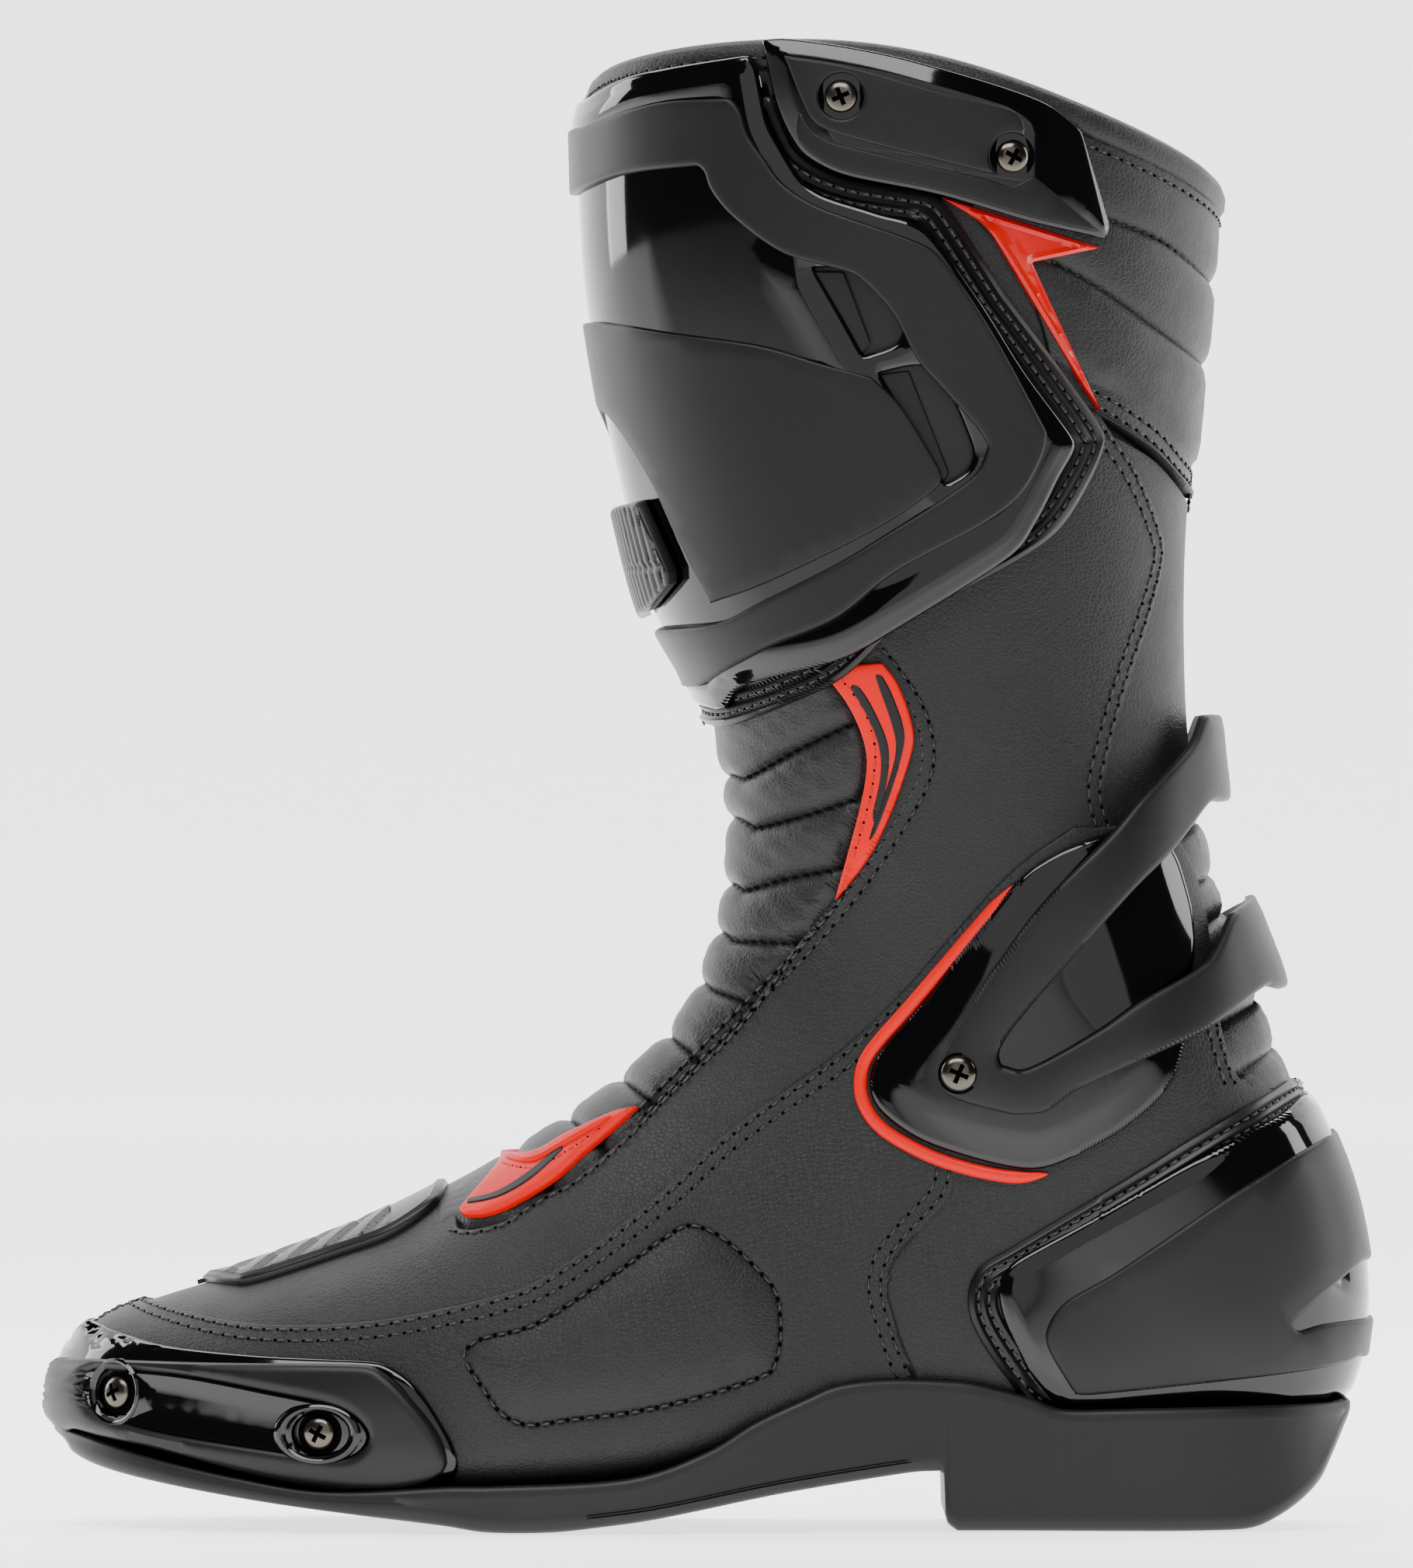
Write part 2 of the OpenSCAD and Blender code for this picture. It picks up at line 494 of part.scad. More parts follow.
// Brace: two arms on each side, joined round the pivot and behind the leg
arm_rows = [
    [[50, 104], [55.5, 112], [64, 126], [77.5, 144.4], [92.4, 159], [105, 172.5], [113, 186]],
    [[66, 106.5], [68.5, 111], [73, 117.5], [83, 131], [96.9, 145.9], [107.4, 156.4], [116, 166.9]],
    [[68, 105.5], [71.5, 105.8], [78, 108.8], [90, 114.8], [103, 123], [114.5, 131], [123, 144]],
    [[58, 97.5], [66, 96.3], [77.5, 96.8], [90, 103.8], [103, 109.8], [117, 117], [128, 124.2]]
];
function arm_line(i) = joined(side(arm_rows[i]));
module ankle_brace() {
    lines = [for (i = [0 : 3]) even(arm_line(i), 26)];
    mid = [for (i = [0, 2]) [for (j = [0 : 26]) (lines[i][j] + lines[i + 1][j]) / 2]];
    grid = [lines[0], mid[0], lines[1], lines[2], mid[1], lines[3]];
    color(matt) difference() {
        union() {
            shell(grid, brace, function(i, j) i != 2 || j == 0 || j == 25);
            both_ends() translate([0, 0, pivot_y + 4.2]) cylinder(h = 3.6, r = boss_r);
        }
        pivot_axis() cylinder(h = 140, r = bush_r + pivot_clearance, center = true);
    }
}

module front_accordion() {
    rows = 22;
    grid = band(6.6, 19.2, rows, 8, function(t) 2 - angle(accordion_edge, t),
        function(t) angle(accordion_edge, t) - 2);
    color(black) shell(grid, [-4.6, -0.6],
        bump = function(i, j) i % 2 == 0 || i > rows - 2 ? 0 : 2.4 * sin(180 * j / 8));
}
module rear_accordion() {
    rows = 12;
    grid = band(16.95, 19.1, rows, 10, function(t) angle(rear_edge, t) + 1, function(t) 359 - angle(rear_edge, t));
    color(black) shell(grid, [-4.6, -0.6], bump = function(i, j) (i < 2 || i % 2 == 0 ? 0 : 2) * sin(18 * j));
}
module instep_trim() {
    front_line = [[30, 145.5], [35.7, 164.7], [36.4, 181.7], [31.5, 190.5]];
    back_line = [[31.8, 147], [41, 164], [46, 178.3], [42, 191]];
    for (m = [1, -1])
        color(red) shell(ruled([for (p = side(front_line)) [p[0], m * p[1]]],
            [for (p = side(back_line)) [p[0], m * p[1]]], 2, 6), [3.2, 4]);
}

// Shaft leather, from an arc about the pivot up to the rim
function up_to_rim(low, rows, off) =
    [for (i = [0 : rows]) [for (p = low) [p[0] + (rim(p[1]) - off - p[0]) * i / rows, p[1]]]];
function calf_edge(t) = angle(calf_seam, t);
side_low = even(concat([[19.4, 0], [19.4, 12], [19.4, 24]], side([[30, 201], [44, 199], [51.5, 193], [54.5, 186]]),
    side([for (a = [92, 85, 78, 71, 66, 61]) pivot + shaft_r * [cos(a), sin(a)]])), 20);
module shaft_leather_lateral() {
    low = [for (p = side_low) [p[0], min(p[1], calf_edge(p[0]) - 1)]];
    rows = 12;
    n = len(low) - 1;
    full = function(t) calf_edge(t) - 1.8;
    grid = [for (i = [0 : rows]) [for (j = [0 : n]) let(
        f = i / rows,
        t0 = low[j][0] + (rim(full(24)) - 0.3 - low[j][0]) * f,
        phi = full(t0) * (j / n * f + low[j][1] * (1 - f) / full(19.3)))
        [low[j][0] + (rim(phi) - 0.3 - low[j][0]) * f, phi]]];
    color(black) difference() {
        shell(grid, leather);
        for (q = calf_screw_at) on_surface(q, -6) cylinder(h = 14, r = screw_r + 0.3);
    }
}
zip_top = [66, 290];
zip_end = [70, 182];
zip_half = 7;
function zip_edge(t, k) =
    let(f = (t - on_side(zip_end)[0]) / (on_side(zip_top)[0] - on_side(zip_end)[0]),
        q = on_side(zip_end + (zip_top - zip_end) * f + [k * zip_half, 0]))
    q[1];
module shaft_leather_medial() {
    grid = [for (i = [0 : 12]) [for (j = [0 : 14]) let(
        phi = -3 - (zip_edge(19.4 + 4.8 * i / 12, -1) - 3) * j / 14)
        [19.4 + (rim(phi) - 0.3 - 19.4) * i / 12, phi]]];
    color(black) shell(grid, leather);
}
module calf_leather_medial() {
    grid = band(19.5, 24.1, 12, 4, function(t) 2.5 - calf_edge(t), function(t) -zip_edge(t, 1));
    color(black) shell(grid, leather);
}
module calf_lower_panel() {
    grid = [for (i = [0 : 8]) let(t = 19.25 + 2.75 * i / 8) [for (j = [0 : 16]) let(
        phi = calf_edge(t) + 1.5 + (357 - 2 * calf_edge(t)) * j / 16,
        start = max(19.25, lookup(min(phi, 360 - phi), [for (p = side(shaft_arc)) [p[1], p[0]]]) + 0.02))
        [start + (22 - start) * i / 8, phi]]];
    color(black) shell(grid, leather);
}
module calf_panel() {
    grid = band(22.1, 23.6, 10, 14, function(t) calf_edge(t), function(t) 360 - calf_edge(t));
    color(black) shell(grid, [-4.6, -0.6], bump = function(i, j) (i % 3 == 0 ? 0 : 1.6) * sin(180 * j / 14));
}
// The collar is open where the zip and the closure tab are
collar_gap = [-101, -119];
module collar() {
    sweep = 360 + collar_gap[1] - collar_gap[0];
    grid = [for (i = [0 : 2]) [for (j = [0 : 32]) let(phi = collar_gap[0] + sweep * j / 32)
        [rim(phi) - 0.18 + i * 0.1, phi]]];
    color(black) shell(grid, [-4.6, 0.5]);
}
// A closed ring: the last column meets the first
module ring(grid, faces_at) {
    rows = len(grid);
    cols = len(grid[0]) - 1;
    n = rows * cols;
    inner = [for (r = grid) for (j = [0 : cols - 1]) lift(r[j], faces_at[0])];
    outer = [for (r = grid) for (j = [0 : cols - 1]) lift(r[j], faces_at[1])];
    quads = [for (i = [0 : rows - 1]) for (j = [0 : cols - 1])
        let(b = i * cols, k = (j + 1) % cols)
        each concat(
            i == rows - 1 ? [] : [[b + j, b + k, b + cols + k], [b + j, b + cols + k, b + cols + j],
                [n + b + j, n + b + cols + k, n + b + k], [n + b + j, n + b + cols + j, n + b + cols + k]],
            i == 0 ? [[j, n + j, n + k], [j, n + k, k]] : [],
            i == rows - 1 ? [[b + j, b + k, n + b + k], [b + j, n + b + k, n + b + j]] : []
        )];
    polyhedron(concat(inner, outer), quads, convexity = 8);
}
module shaft_liner() {
    grid = [for (i = [0 : 8]) [for (j = [0 : 24]) let(phi = -180 + j * 15)
        [19.6 + (rim(phi) - 0.3 - 19.6) * i / 8, phi]]];
    color("#2c2f33") ring(grid, lining);
}
module shin_padding() {
    color("#55585c") shell(band(20, 23.8, 8, 12, function(t) -55, function(t) 70), foam);
}

// Shin armour: full shells behind, a raised frame and an insert in front
upward = concat([for (i = [0 : 7]) i / 10], [0.74, 0.77, 0.8, 0.83, 0.855, 0.88, 0.9, 0.92, 0.94, 0.96, 0.98, 1]);
function armour(t0, below_rim, cols, table) =
    [for (f = upward) [for (j = [0 : cols]) let(
        a = angle(table, t0 + (24.4 - below_rim - t0) * f),
        phi = a * ((1 + inner_share) * j / cols - inner_share))
        [t0 + (rim(phi) - below_rim - t0) * f, phi]]];
vents = [
    [[22.8, 287], [30.6, 287.5], [38.6, 282.3], [44.1, 275], [42.6, 271.2], [35.9, 268.3]],
    [[38.6, 263.9], [50.3, 265.2], [56.1, 257.2], [60.2, 246], [59, 242.3], [54.6, 239.2]]
];
module vent_holes() {
    for (v = vents) rotate([90, 0, 0]) linear_extrude(80) polygon(v);
}
module shin_flange() {
    color(black) difference() {
        shell(armour(18.75, 0.08, 15, flange_edge), flange);
        vent_holes();
    }
}
module shin_plate() {
    color(gloss) difference() {
        shell(armour(19, 0.16, 15, plate_edge), plate);
        vent_holes();
        grip_slot();
    }
}
module shin_frame() {
    grid = [for (f = upward) let(
        t = 19.15 + 4.8 * f,
        o = angle(frame_outer, t),
        n = min(angle(frame_inner, t), o - 6))
        [for (a = concat([for (k = [0 : 4]) o + (n - o) * k / 4], [for (k = [5 : -1 : 0]) n * k / 6],
            [for (k = [1 : 4]) -n * k / 4 * inner_share],
            [for (k = [1 : 4]) -(n + (o - n) * k / 4) * inner_share])) [t, a]]];
    color(matt) shell(grid, raised, function(i, j) i < 2 || i > 15 || j < 4 || j > 13);
}
module shin_insert() {
    high = [[-21, 272], [-9.5, 272.5], [11.4, 269.4], [26, 265.2], [34.5, 262], [47, 248]];
    low = [[0.7, 213.5], [11.9, 217], [29.5, 225.6], [43.6, 233.5], [51, 240]];
    color(matt) shell(ruled(side(low), side(high), 6, 14), [6.6, 7.2]);
}
module vent_mesh() {
    color("#b9b9b6") for (k = [0, 1]) {
        c = (vents[k][0] + vents[k][2] + vents[k][4]) / 3;
        grown = [for (q = vents[k]) q + 2.5 * (q - c) / norm(q - c)];
        shell(ruled(side([grown[0], grown[1], grown[2], grown[3]]), side([grown[0] - [0, 0.5], grown[5], grown[4],
            grown[3] - [0.5, 0.6]]), 3, 4), [2, 2.25]);
    }
}

// Blades behind the vents, joined by a link, and the thumb grip that turns about the shin
function blade(k) = k == 0
    ? [[19, 289], [27, 289.5], [35.5, 271], [33, 266]]
    : [[35, 265.5], [43.5, 266.5], [53, 245], [51, 237.5]];
module vent_shutter() {
    color(matt) {
        for (k = [0, 1]) let(b = blade(k))
            shell(ruled(side([b[0], b[3]]), side([b[1], b[2]]), 2, 4), [3, 3.4]);
        shell(ruled(side([[24.5, 277], [27, 270]]), side([[45.5, 262.5], [47.5, 256.5]]), 5, 2), [2.95, 3.35]);
    }
}
grip_depth = 52.6;
grip_axis_low = lift([19.9, 0], -grip_depth);
grip_axis_high = lift([21.3, 0], -grip_depth);
grip_dir = (grip_axis_high - grip_axis_low) / norm(grip_axis_high - grip_axis_low);
module about_grip_axis() {
    translate((grip_axis_low + grip_axis_high) / 2) rotate([0, atan2(grip_dir[0], grip_dir[2]), 0]) children();
}
// A piece of a tube about the grip axis, from angle a0 to a1 measured from straight ahead towards the outer side
module grip_sector(r0, r1, a0, a1, h) {
    about_grip_axis() rotate([0, 0, 180 + a0]) rotate_extrude(angle = a1 - a0, $fn = 96)
        translate([grip_depth + r0, -h / 2]) square([r1 - r0, h]);
}
grip_from = -2;
grip_to = 17;
grip_travel = 8;
grip_h = 24;
rib_pitch = 3.2;
module grip_slot() {
    grip_sector(-2, 12, grip_from + 4 - grip_travel, grip_to - 2, 12);
}
module vent_grip() {
    color(matt) {
        grip_sector(6.6, 8, grip_from, grip_to, grip_h);
        for (i = [0 : 5]) grip_sector(7.9, 8.8, grip_from + 0.6 + i * rib_pitch, grip_from + 2.4 + i * rib_pitch,
            grip_h - 1);
        grip_sector(3.2, 6.7, grip_from + 6, grip_to - 4, 9);
    }
}

module calf_plate() {
    high = [[13, 338.5], [34.3, 336.5], [50, 333], [76.1, 325.5], [86, 318.5]];
    low = [[18, 327], [25.5, 316], [53.1, 306.2], [74, 299.9], [91.5, 296.8]];
    color(gloss) difference() {
        shell(ruled(side(low), side(high), 5, 9), [3, 5.2]);
        for (q = calf_screw_at) on_surface(q, -6) cylinder(h = 14, r = screw_r + 0.3);
    }
}
calf_screw_at = [[30.7, 327.3], [69.6, 313.7]];
module calf_inlay() {
    high = [[20, 335.5], [36, 332.5], [53.1, 328], [69, 323.5]];
    low = [[23.5, 324], [34, 318.5], [52, 313.5], [67, 310.5]];
    color(matt) difference() {
        shell(ruled(side(low), side(high), 3, 6), [5.6, 6.4]);
        for (q = calf_screw_at) on_surface(q, -6) cylinder(h = 14, r = screw_r + 0.3);
    }
}
module calf_screws() {
    color(steel) for (q = calf_screw_at) on_surface(q, 6.7) pan_screw(10);
}
module calf_nuts() {
    color(steel) for (q = calf_screw_at) on_surface(q, 0) tee_nut(4.8);
}
module calf_chevron() {
    front_line = [[62, 300], [69.5, 291], [78.5, 275.5], [89, 259]];
    back_line = [[84, 292.8], [74, 289.5], [80.5, 274.5], [90.2, 258]];
    color(red) shell(ruled(side(front_line), side(back_line), 2, 6), [0.5, 1.6]);
}

// Zip on the inner side, along a straight line
function on_inner(q, off) = let(p = on_side(q)) lift([p[0], -p[1]], off);
zip_a = on_inner(zip_top, -0.8);
zip_b = on_inner(zip_end, -0.8);
zip_dir = (zip_b - zip_a) / norm(zip_b - zip_a);
zip_len = norm(zip_b - zip_a);
zip_out = let(n = on_inner([68, 250], 1) - on_inner([68, 250], 0)) n - (n * zip_dir) * zip_dir;
// Children are drawn with X down the zip, Z outwards from the boot
module along_zip() {
    z = zip_out / norm(zip_out);
    y = cross(z, zip_dir);
    multmatrix([[zip_dir[0], y[0], z[0], zip_a[0]], [zip_dir[1], y[1], z[1], zip_a[1]],
        [zip_dir[2], y[2], z[2], zip_a[2]], [0, 0, 0, 1]]) children();
}
module zip_tapes() {
    color(black) along_zip() for (s = [-1, 1]) translate([0, s > 0 ? 0.6 : -6.4, -2.2]) cube([zip_len, 5.8, 0.7]);
}
module zip_teeth() {
    color(steel) along_zip() for (s = [-1, 1]) for (i = [0 : 3 : zip_len - 8])
        translate([i + 2 + (s > 0 ? 1.5 : 0), s > 0 ? 0.15 : -1.75, -1.4]) cube([1.2, 1.6, 1]);
}
module zip_stops() {
    color(steel) along_zip() {
        translate([-3, -2.5, -1.4]) cube([2.5, 5, 1.8]);
        translate([zip_len - 4, -2.5, -1.4]) cube([4, 5, 1.8]);
    }
}
zip_slider_l = 11;
zip_pull_l = 30;
module zip_slider() {
    color(steel) along_zip() {
        difference() {
            translate([0, -4, 0]) cube([zip_slider_l, 8, 1.6]);
            translate([3, -1.2, 1]) cube([5, 2.4, 4]);
        }
        difference() {
            translate([3, -3, 1.5]) cube([5, 6, 2.4]);
            translate([2, -1.6, 1.4]) cube([7, 3.2, 6]);
            translate([5.5, 0, 2.7]) rotate([90, 0, 0]) cylinder(h = 20, r = 0.9, center = true);
        }
    }
}
module zip_pull() {
    color(black) along_zip() difference() {
        union() {
            translate([5.5, -1.3, 1.9]) cube([zip_pull_l, 2.6, 1.6]);
            translate([14, -4, 1.9]) cube([zip_pull_l - 8, 8, 1.6]);
            translate([5.5, 0, 2.7]) rotate([90, 0, 0]) cylinder(h = 5.4, r = 0.85, center = true);
        }
    }
}

// Hook-and-loop tab across the top of the zip, hinged along its front edge
tab_z = [294, 317];
function tab_curve(z, x0, x1) = mirrored(side([for (i = [0 : 4]) [x0 + (x1 - x0) * i / 4, z]]));
module closure_tab() {
    color(black) shell(ruled(tab_curve(tab_z[0], 40, 92), tab_curve(tab_z[1], 40, 92), 3, 6), [3.7, 5.3]);
}
module tab_hook_patch() {
    color(black) shell(ruled(tab_curve(tab_z[0] + 3, 77, 90), tab_curve(tab_z[1] - 3, 77, 90), 2, 3), [2.2, 3.3]);
}
module tab_loop_patch() {
    color(black) shell(ruled(tab_curve(tab_z[0] + 2, 76, 91), tab_curve(tab_z[1] - 2, 76, 91), 2, 3), [0.7, 1.9]);
}

outsole();
tread_insert();
lasting_board();
shank();
footbed();
toe_puff();
heel_stiffener();
foot_liner();
toe_guard();
toe_slider();
toe_slider_screws();
toe_slider_nuts();
vamp();
vamp_trim();
shift_pad();
quarter_lateral();
quarter_medial();
heel_flange();
heel_counter();
heel_cover();
ankle_cup_lateral();
ankle_cup_medial();
ankle_piping_lateral();
ankle_piping_medial();
ankle_screws();
ankle_nuts();
front_accordion();
rear_accordion();
instep_trim();
ankle_brace();
brace_bushes();
shaft_leather_lateral();
shaft_leather_medial();
calf_leather_medial();
calf_lower_panel();
calf_panel();
collar();
shaft_liner();
shin_padding();
shin_flange();
shin_plate();
shin_frame();
shin_insert();
vent_mesh();
calf_plate();
calf_inlay();
calf_screws();
calf_nuts();
calf_chevron();
zip_tapes();
zip_teeth();
zip_stops();
tab_loop_patch();
vent_grip();
vent_shutter();
zip_slider();
zip_pull();
closure_tab();
tab_hook_patch();
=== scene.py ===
"""Looks of a motorcycle race boot, built around its CAD frame.

Outlines are given in millimetres as seen from the outer side: x runs from toe to heel, z upwards. They are laid
onto a smooth surface of (t, phi): t numbers the sections along the boot and phi is the angle round a section,
0 at the front, 90 on the outer side and 180 at the back.
"""
import math
import random

import bmesh
import bpy
import numpy as np
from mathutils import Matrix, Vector
from mathutils.geometry import delaunay_2d_cdt
from mathutils.kdtree import KDTree


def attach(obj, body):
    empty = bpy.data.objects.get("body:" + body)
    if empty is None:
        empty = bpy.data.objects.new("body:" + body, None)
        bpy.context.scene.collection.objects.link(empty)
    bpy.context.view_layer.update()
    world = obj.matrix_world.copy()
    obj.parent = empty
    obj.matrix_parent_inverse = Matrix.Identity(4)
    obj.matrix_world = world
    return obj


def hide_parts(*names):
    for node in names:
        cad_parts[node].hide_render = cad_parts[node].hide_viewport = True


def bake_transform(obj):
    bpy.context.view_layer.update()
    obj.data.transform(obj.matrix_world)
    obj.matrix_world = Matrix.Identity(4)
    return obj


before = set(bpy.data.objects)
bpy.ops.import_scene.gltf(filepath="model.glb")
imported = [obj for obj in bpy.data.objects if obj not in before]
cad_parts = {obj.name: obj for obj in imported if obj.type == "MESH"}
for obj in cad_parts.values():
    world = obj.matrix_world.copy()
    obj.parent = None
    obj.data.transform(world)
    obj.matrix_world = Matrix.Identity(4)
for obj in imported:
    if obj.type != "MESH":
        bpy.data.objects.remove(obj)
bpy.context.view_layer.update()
random.seed(7)
rng = np.random.default_rng(7)

# ---------------------------------------------------------------- camera
# Positions below are in millimetres in the row frame; meshes are made in metres.
MM = 0.001
DISTANCE = 4.0
FACE_Y = -0.030
VIEW_H = 0.3594
cam_data = bpy.data.cameras.new("camera")
cam_data.sensor_fit = "VERTICAL"
cam_data.sensor_height = 36.0
cam_data.lens = 36.0 * DISTANCE / VIEW_H
cam_data.clip_end = 30
cam = bpy.data.objects.new("camera", cam_data)
cam.location = (0.0, FACE_Y - DISTANCE, 0.1708)
cam.rotation_euler = (math.pi / 2, 0, 0)
bpy.context.scene.collection.objects.link(cam)
bpy.context.scene.camera = cam

# ---------------------------------------------------------------- surface of the upper
# One row per section: front x, front z, back x, back z, half width, centre y, place of the widest point,
# exponents of the front and back halves. The same fan of sections as the CAD model.
WB, WS = 48.5, 55.0
ROWS = np.array([
    [-148.5, 30.5, -148.5, 29.5, 0.5, 11, 0.45, 2, 2],
    [-147.3, 37.5, -147.3, 24, 9.5, 10.5, 0.45, 2, 2.2],
    [-143.6, 43.5, -143.6, 20.5, 17.5, 9.5, 0.42, 2, 2.6],
    [-137, 48.5, -137, 18, 25, 8, 0.4, 2.1, 3],
    [-124, 53, -124, 14.5, 34, 6.8, 0.36, 2.1, 3.6],
    [-103, 59.5, -101, 11, WB - 5.5, 5.5, 0.33, 2.1, 4.2],
    [-77, 69.5, -72, 8, WB - 0.5, 3, 0.3, 2.1, 4.8],
    [-51, 83, -42, 8.3, WB, -1.5, 0.28, 2.1, 5],
    [-29.5, 96.8, -8, 11.5, WB - 4, -4.5, 0.28, 2.2, 5],
    [-13, 110, 28, 19, 39.5, -4, 0.3, 2.3, 5],
    [-4.5, 121, 60, 23, 37.5, -2.5, 0.34, 2.4, 5],
    [-0.5, 130.5, 92, 23, 37.3, -1, 0.38, 2.5, 4.4],
    [2, 138.5, 119, 23, 37.8, 0, 0.42, 2.5, 3.5],
    [3.5, 146, 139, 25.5, 38.4, 0, 0.45, 2.5, 2.8],
    [4.2, 153, 147.5, 38, 39, 0, 0.46, 2.5, 2.4],
    [4.5, 160, 149, 58, 39.5, 0, 0.47, 2.5, 2.3],
    [4, 167.5, 144.5, 80, 40, 0, 0.48, 2.5, 2.3],
    [2.8, 175.5, 135, 102, 40.6, 0, 0.49, 2.5, 2.2],
    [1.8, 185, 126, 126, 41.8, 0, 0.5, 2.4, 2.2],
    [0.3, 197, 117, 151, 43.5, 0, 0.5, 2.4, 2.2],
    [-8, 213, 112, 180, 45.6, 0, 0.5, 2.3, 2.2],
    [-14.3, 237, 111, 217, 48.2, 0, 0.5, 2.3, 2.2],
    [-20, 263, 113, 251, WS - 4.4, 0, 0.5, 2.3, 2.2],
    [-24, 291, 116, 281, WS - 2.2, 0, 0.5, 2.3, 2.2],
    [-25.3, 322, 117.5, 306, WS - 0.8, 0, 0.5, 2.3, 2.2],
    [-26, 353, 118.3, 336, WS, 0, 0.5, 2.3, 2.2],
])
LAST = len(ROWS) - 1
_r1 = ROWS[1]
EXT = np.vstack([[_r1[2], _r1[3], _r1[0], _r1[1], -_r1[4], *_r1[5:]], ROWS, 2 * ROWS[-1] - ROWS[-2]])


def section(t):
    t = np.asarray(t, float)
    i = np.clip(np.floor(t).astype(int), 0, LAST - 1)
    f = (t - i)[..., None]
    a, b, c, d = EXT[i], EXT[i + 1], EXT[i + 2], EXT[i + 3]
    return b + 0.5 * f * ((c - a) + f * (2 * a - 5 * b + 4 * c - d + f * (3 * (b - c) + d - a)))


def base(t, phi):
    r = section(t)
    ph = np.radians(phi)
    sx, sz = r[..., 2] - r[..., 0], r[..., 3] - r[..., 1]
    l = np.maximum(np.hypot(sx, sz), 0.01)
    cp, sp = np.cos(ph), np.sin(ph)
    a = np.where(cp > 0, (1 - r[..., 6]) * l, r[..., 6] * l)
    n = np.where(cp > 0, r[..., 7], r[..., 8])
    w = np.maximum(r[..., 4], 0.1)
    d = ((np.abs(cp) / a) ** n + (np.abs(sp) / w) ** n) ** (-1 / n)
    s = d * cp + r[..., 6] * l
    return np.stack([r[..., 2] - sx / l * s, r[..., 5] - d * sp, r[..., 3] - sz / l * s], -1)


def jets(t, phi):
    """Point, derivatives by t and phi, and the outward normal."""
    t, phi = np.asarray(t, float), np.asarray(phi, float)
    p = base(t, phi)
    pt = (base(t + 0.03, phi) - base(t - 0.03, phi)) / 0.06
    pf = (base(t, phi + 0.6) - base(t, phi - 0.6)) / 1.2
    n = np.cross(pf, pt)
    n /= np.maximum(np.linalg.norm(n, axis=-1, keepdims=True), 1e-9)
    return p, pt, pf, n


def on_side(pts):
    """Section and angle of points (x, z) seen from the outer side."""
    pts = np.asarray(pts, float)
    x, z = pts[:, 0], pts[:, 1]

    def beyond(t):
        r = section(t)
        return (r[:, 0] - r[:, 2]) * (z - r[:, 3]) - (r[:, 1] - r[:, 3]) * (x - r[:, 2])

    i = np.zeros(len(x))
    found = np.zeros(len(x), bool)
    for k in range(LAST):
        hit = (beyond(np.full(len(x), k + 1.0)) > 0) | (k == LAST - 1)
        i[hit & ~found] = k
        found |= hit
    lo, hi = i, i + 1
    for _ in range(18):
        m = (lo + hi) / 2
        up = beyond(m) > 0
        hi = np.where(up, m, hi)
        lo = np.where(up, lo, m)
    t = (lo + hi) / 2
    r = section(t)
    sx, sz = r[:, 0] - r[:, 2], r[:, 1] - r[:, 3]
    l = np.hypot(sx, sz)
    s = ((x - r[:, 2]) * sx + (z - r[:, 3]) * sz) / l - r[:, 6] * l
    a = np.where(s > 0, (1 - r[:, 6]) * l, r[:, 6] * l)
    n = np.where(s > 0, r[:, 7], r[:, 8])
    y = r[:, 4] * np.maximum(0, 1 - np.abs(s / a) ** n) ** (1 / n)
    return np.stack([t, np.degrees(np.arctan2(y, s))], -1)


def catmull(points, sharp=(), closed=False, step=1.5):
    """Smooth curve through points, broken at the sharp ones, sampled about every step."""
    p = np.asarray(points, float)
    n = len(p)
    out = []
    for i in range(n if closed else n - 1):
        b, c = p[i], p[(i + 1) % n]
        a = p[i - 1] if (closed or i > 0) else 2 * b - c
        d = p[(i + 2) % n] if (closed or i + 2 < n) else 2 * c - b
        if i in sharp:
            a = 2 * b - c
        if (i + 1) % n in sharp:
            d = 2 * c - b
        lb = np.linalg.norm(c - b)
        k = max(1, int(math.ceil(lb / step)))
        m0 = (c - a) * 0.5
        m1 = (d - b) * 0.5
        for m in (m0, m1):
            lm = np.linalg.norm(m)
            if lm > 1.3 * lb > 0:
                m *= 1.3 * lb / lm
        for j in range(k):
            f = j / k
            h = (2 * f ** 3 - 3 * f ** 2 + 1, f ** 3 - 2 * f ** 2 + f, -2 * f ** 3 + 3 * f ** 2,
                 f ** 3 - f ** 2)
            out.append(h[0] * b + h[1] * m0 + h[2] * c + h[3] * m1)
    if not closed:
        out.append(p[-1])
    return np.array(out)


def side(points, sharp=(), closed=False, step=1.5, off=0.0):
    """(t, phi) of a smooth outline drawn in side view, for a face that lies off mm above the surface."""
    pts = catmull(points, sharp, closed, step)
    tp = on_side(pts)
    for _ in range(3 if off else 0):
        n = jets(tp[:, 0], tp[:, 1])[3]
        tp = on_side(pts - off * n[:, [0, 2]])
    return tp


def mirror(tp, share=1.0):
    return np.stack([tp[:, 0], -tp[:, 1] * share], -1)


